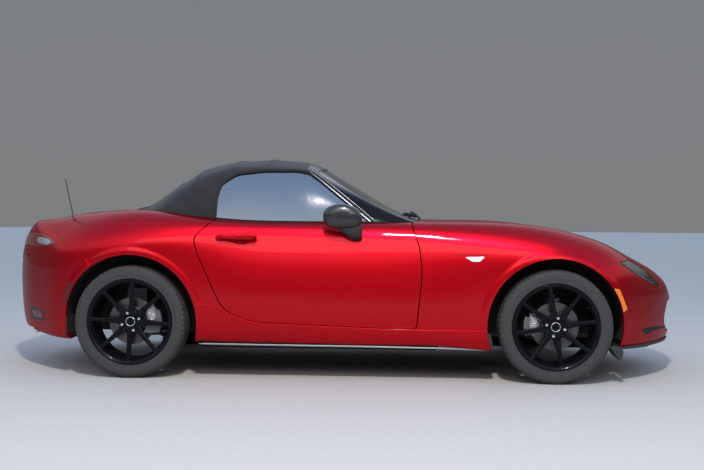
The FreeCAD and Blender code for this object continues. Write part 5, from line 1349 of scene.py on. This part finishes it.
# ---------------------------------------------------------------- cabin: steering wheel
HUB_AT, RIM_RADIUS, RAKE = np.array([0.040, 0.370, 0.735]), 0.168, math.radians(24)
AXIS = np.array([-math.cos(RAKE), 0, math.sin(RAKE)])
UP, LEFT = np.array([math.sin(RAKE), 0, math.cos(RAKE)]), np.array([0, 1.0, 0])
turns = np.arange(96) * 2 * math.pi / 96
thick = 0.0148 + 0.0022 * np.maximum(0, np.cos(4 * (turns - math.pi / 4))) ** 6
stations = []
for w, r in zip(turns, thick):
    radial = math.cos(w) * LEFT + math.sin(w) * UP
    stations.append(HUB_AT + RIM_RADIUS * radial + r * (circle(16) @ np.stack([radial, 1.12 * AXIS])))
ob = solid("steering_rim", rings(stations, loop=True), LEATHER, "steering", 60)
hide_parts("steering_wheel")
PAD = [(0, 0.046), (0.018, 0.052), (0.040, 0.062), (0.050, 0.060), (0.056, 0.050), (0.0585, 0.030), (0.059, 0.0005)]
solid("steering_pad", facing(HUB_AT - AXIS * 0.024, AXIS, PAD), BLACK_PLASTIC, "steering", 50)
# stations of an arm: distance from the hub, half width, half depth, offset along the axis
ARM = ((0.045, 0.024, 0.007, 0.012), (0.08, 0.018, 0.006, 0.006), (0.12, 0.015, 0.0055, 0.0),
       (0.158, 0.017, 0.006, 0.0))
ARM_SECTION = np.array([(-1, -0.6), (-0.8, 1), (0.8, 1), (1, -0.6), (0.8, -1), (-0.8, -1)])
arms = [rings([HUB_AT + d * r + AXIS * s + ARM_SECTION @ np.stack([np.cross(AXIS, d) * wide, AXIS * deep])
               for r, wide, deep, s in ARM]) for d in (LEFT, -LEFT, -UP)]
solid("steering_spokes", arms, SATIN, "steering", 35, 0.0015)

# ---------------------------------------------------------------- cabin: dashboard, lever, door cards
VENT = [(-0.02, 0.040), (0.006, 0.043), (0.010, 0.042), (0.011, 0.038), (0.006, 0.035), (-0.016, 0.034)]
CORE = [(-0.015, 0.0345), (-0.006, 0.0345), (-0.004, 0.012), (-0.002, 0.011), (-0.001, 0.0005)]
for name, profile, mat in (("vent_rings", VENT, SATIN), ("vent_cores", CORE, BLACK_PLASTIC)):
    solid(name, [facing(at, (-1, 0, 0.1), profile) for at in (
        (0.152, -0.54, 0.735), (0.150, -0.10, 0.765), (0.150, 0.10, 0.765), (0.152, 0.585, 0.735))], mat)
hood = smooth([(0.225, 0.800), (0.235, 0.850), (0.290, 0.876), (0.370, 0.884), (0.450, 0.876), (0.505, 0.850),
               (0.515, 0.800), (0.370, 0.790)], 48, True)
solid("instrument_hood", extrude(hood, ((0.34, 0.60), (0.27, 0.86), (0.20, 0.97), (0.150, 1.0), (0.140, 0.985),
                                        (0.142, 0.93), (0.19, 0.88), (0.200, 0.2)), axis=0, centre=(0.370, 0.800)),
      BLACK_PLASTIC, angle=45)
solid("instrument_dials", [facing((0.176, y, 0.828), (-1, 0, 0.25), [(-0.012, r), (0.003, r), (0.006, r * 0.97),
                                                                     (0.006, r * 0.90), (0.001, r * 0.87),
                                                                     (0.0, 0.001)])
                           for y, r in ((0.370, 0.052), (0.278, 0.036), (0.462, 0.036))], SATIN)
form = outline([(-95, 850, 8), (95, 850, 8), (95, 945, 8), (-95, 945, 8)], arc=5)
solid("centre_screen", rings([np.c_[x + 0.10 * (form[:, 1] - 0.85), form[:, 0] * k, 0.8625 + (form[:, 1] - 0.8975) * k]
                              for x, k in ((0.232, 0.96), (0.226, 1.0), (0.218, 1.0), (0.215, 0.97))]), BLACK_GLOSS,
      angle=35)
GAITER = [(0.0, 0.062), (0.012, 0.058), (0.020, 0.044), (0.032, 0.040), (0.040, 0.028), (0.052, 0.024), (0.064, 0.012),
          (0.066, 0.001)]
KNOB = [(0.0, 0.008), (0.004, 0.016), (0.014, 0.023), (0.026, 0.0245), (0.038, 0.021), (0.045, 0.012), (0.047, 0.001)]
solid("gear_lever_boot", facing((-0.062, 0, 0.500), (-0.1, 0, 1), GAITER, 28), LEATHER, angle=60)
solid("gear_knob", facing((-0.0755, 0, 0.574), (-0.1, 0, 1), KNOB, 28), LEATHER, angle=60)

card = outline([(-600, 372, 60), (-640, 560, 60), (-655, 815, 30), (330, 815, 30), (392, 640, 80), (372, 345, 60),
                (-440, 335, 60)], arc=8)
armrest = outline([(-560, 600, 30), (150, 610, 30), (250, 660, 30), (150, 690, 30), (-540, 672, 30)], arc=8)
card = extrude(card, ((DOOR_INSIDE, 1.0), (-0.694, 1.0), (-0.690, 0.985), (-0.688, 0.96)), centre=card.mean(0))
armrest = extrude(armrest, ((-0.689, 1.04), (-0.672, 1.0), (-0.655, 0.97), (-0.648, 0.93), (-0.645, 0.85)),
                  centre=armrest.mean(0))
pull = tube([(-0.02, -0.688, 0.745), (0.0, -0.668, 0.748), (0.06, -0.660, 0.750), (0.12, -0.668, 0.752),
             (0.14, -0.688, 0.754)],
            0.0065, 10)
for tag, turn in SIDES:
    solid("door_card_" + tag, turn(card), BLACK_PLASTIC, tag + "_door", 35)
    solid("door_armrest_" + tag, turn(armrest), LEATHER, tag + "_door", 50)
    solid("door_pull_" + tag, turn(pull), SATIN, tag + "_door", 50)


# ---------------------------------------------------------------- under the bonnet
def boss(x0, x1, y0, y1, z0, z1, corner=12, edge=0.005):
    """A moulded box with round corners and an eased top; its sides and corner in millimetres."""
    P = even(outline([(x0, y0, corner), (x1, y0, corner), (x1, y1, corner), (x0, y1, corner)], arc=5), 0.02, True)
    k = 1 - 2 * edge / min(abs(x1 - x0), abs(y1 - y0)) * 1000
    return extrude(P, ((z0, 1.0), (z1 - edge, 1.0), (z1 - edge * 0.3, (1 + k) / 2), (z1, k)), axis=2, centre=P.mean(0))


def hose(points, r, segs):
    return tube(smooth(points, 22), r, segs)


# straight up, but for the little that facing() needs, and the cylinders' places
UPWARD, CYLINDERS = (0.001, 0, 1), (0.77, 0.86, 0.95, 1.04)
ribs = [boss(752, 1118, y - 9, y + 9, 0.714, 0.722, 8, 0.003) for y in (-76, -38, 38, 76)]
solid("engine_cover", [boss(738, 1132, -112, 112, 0.698, 0.716, 30)] + ribs, BLACK_PLASTIC)
solid("oil_cap", facing((0.80, 0.0, 0.714), UPWARD,
                        [(0, 0.004), (0, 0.031), (0.014, 0.031), (0.017, 0.027), (0.017, 0.004)]),
      BLACK_PLASTIC)
solid("intake_manifold", [hose([(x, 0.150, 0.600), (x, 0.215, 0.640), (x, 0.275, 0.610), (x, 0.290, 0.520)], 0.021, 14)
                          for x in CYLINDERS] +
      [tube([(0.73, 0.290, 0.500), (0.76, 0.290, 0.500), (1.06, 0.290, 0.500), (1.10, 0.290, 0.505)], 0.044, 20)], CAST)
solid("exhaust_manifold", [hose([(x, -0.150, 0.560), (x, -0.215, 0.555), (0.90 + (x - 0.90) * 0.5, -0.262, 0.470),
                                 (0.90, -0.262, 0.360)], 0.018, 12) for x in CYLINDERS], STEEL)
solid("battery", [boss(700, 870, -450, -290, 0.500, 0.672, 6), boss(716, 736, -430, -408, 0.670, 0.688, 6, 0.003),
                  boss(716, 736, -332, -310, 0.670, 0.688, 6, 0.003)], UNDERSEAL)
solid("fuse_box", boss(700, 850, 330, 450, 0.560, 0.668, 10), BLACK_PLASTIC)
solid("air_box", boss(1290, 1500, 60, 340, 0.470, 0.575, 24, 0.010), BLACK_PLASTIC)
FILLER = [(0, 0.004), (0, 0.024), (0.016, 0.024), (0.018, 0.004)]
solid("coolant_bottle", [boss(1330, 1450, -330, -220, 0.450, 0.560, 22, 0.010),
                         facing((1.39, -0.275, 0.556), UPWARD, FILLER)],
      PLATE_WHITE)
solid("engine_hoses", [hose([(1.30, 0.250, 0.530), (1.22, 0.285, 0.540), (1.15, 0.292, 0.520), (1.08, 0.290, 0.505)],
                            0.036, 16),
                       hose([(1.605, -0.120, 0.490), (1.50, -0.130, 0.560), (1.34, -0.120, 0.590),
                             (1.17, -0.090, 0.580)], 0.019, 14),
                       hose([(1.605, 0.000, 0.300), (1.45, 0.010, 0.300), (1.30, 0.000, 0.340), (1.17, -0.020, 0.380)],
                            0.019, 14)],
      RUBBER)

# ---------------------------------------------------------------- stage, light, camera
# soft light that grows from a dim horizon to a pale blue overhead: (height, colour)
SKY = ((0.0, (0.17, 0.175, 0.18)), (0.22, (0.17, 0.18, 0.19)), (0.31, (0.78, 0.85, 0.92)), (0.54, (0.66, 0.80, 1.0)),
       (0.74, (0.40, 0.58, 0.90)), (1.0, (0.36, 0.52, 0.84)))
world = bpy.data.worlds.new("studio")
bpy.context.scene.world = world
world.use_nodes = True
sep = node(world, "ShaderNodeSeparateXYZ")
link(world, node(world, "ShaderNodeTexCoord"), "Generated", sep, 0)
sky = ramp(world, sep, "Z", SKY[0][1], SKY[-1][1])
for at, colour in SKY[1:-1]:
    sky.color_ramp.elements.new(at).color = (*colour, 1)
background = world.node_tree.nodes["Background"]
background.inputs["Strength"].default_value = 1.2
link(world, sky, "Color", background, "Color")

me = bpy.data.meshes.new("floor")
me.from_pydata([(-40, -40, 0), (40, -40, 0), (40, 40, 0), (-40, 40, 0)], [], [(0, 1, 2, 3)])
me.materials.append(stuff("floor", 40, (0.445, 0.420, 0.385), (0.480, 0.455, 0.420), (0.8, 0.95)))
new_object("floor", me)


def lamp(name, at, size, power, colour):
    """An area lamp that looks at the middle of the car."""
    d = bpy.data.lights.new(name, "AREA")
    d.shape, d.size, d.size_y, d.energy, d.color = "RECTANGLE", size[0], size[1], power, colour
    o = new_object(name, d)
    o.location, o.rotation_mode = at, "QUATERNION"
    o.rotation_quaternion = (Vector((0, 0, 0.5)) - Vector(at)).to_track_quat("-Z", "Y")


lamp("key", (0.42, -5.7, 6.0), (0.42, 0.42), 430, (1.0, 0.96, 0.90))
lamp("side", (1.0, -9.0, 4.9), (9, 2.0), 120, (0.97, 0.98, 1.0))

# the camera that was fitted to the photograph
CAMERA_AT, YAW, PITCH, TILT = (0.4159, -6.7578, 0.9393), 0.0526, -0.0246, 0.0080
lens = bpy.data.cameras.new("camera")
lens.lens, lens.sensor_width, lens.clip_end = 56.25, 36.0, 200
cam = new_object("camera", lens)
cam.matrix_world = (Matrix.Translation(CAMERA_AT) @ Matrix.Rotation(YAW, 4, "Z")
                    @ Matrix.Rotation(math.pi / 2 + PITCH, 4, "X") @ Matrix.Rotation(TILT, 4, "Z"))
bpy.context.scene.camera = cam
bpy.context.scene.view_settings.view_transform = "Standard"
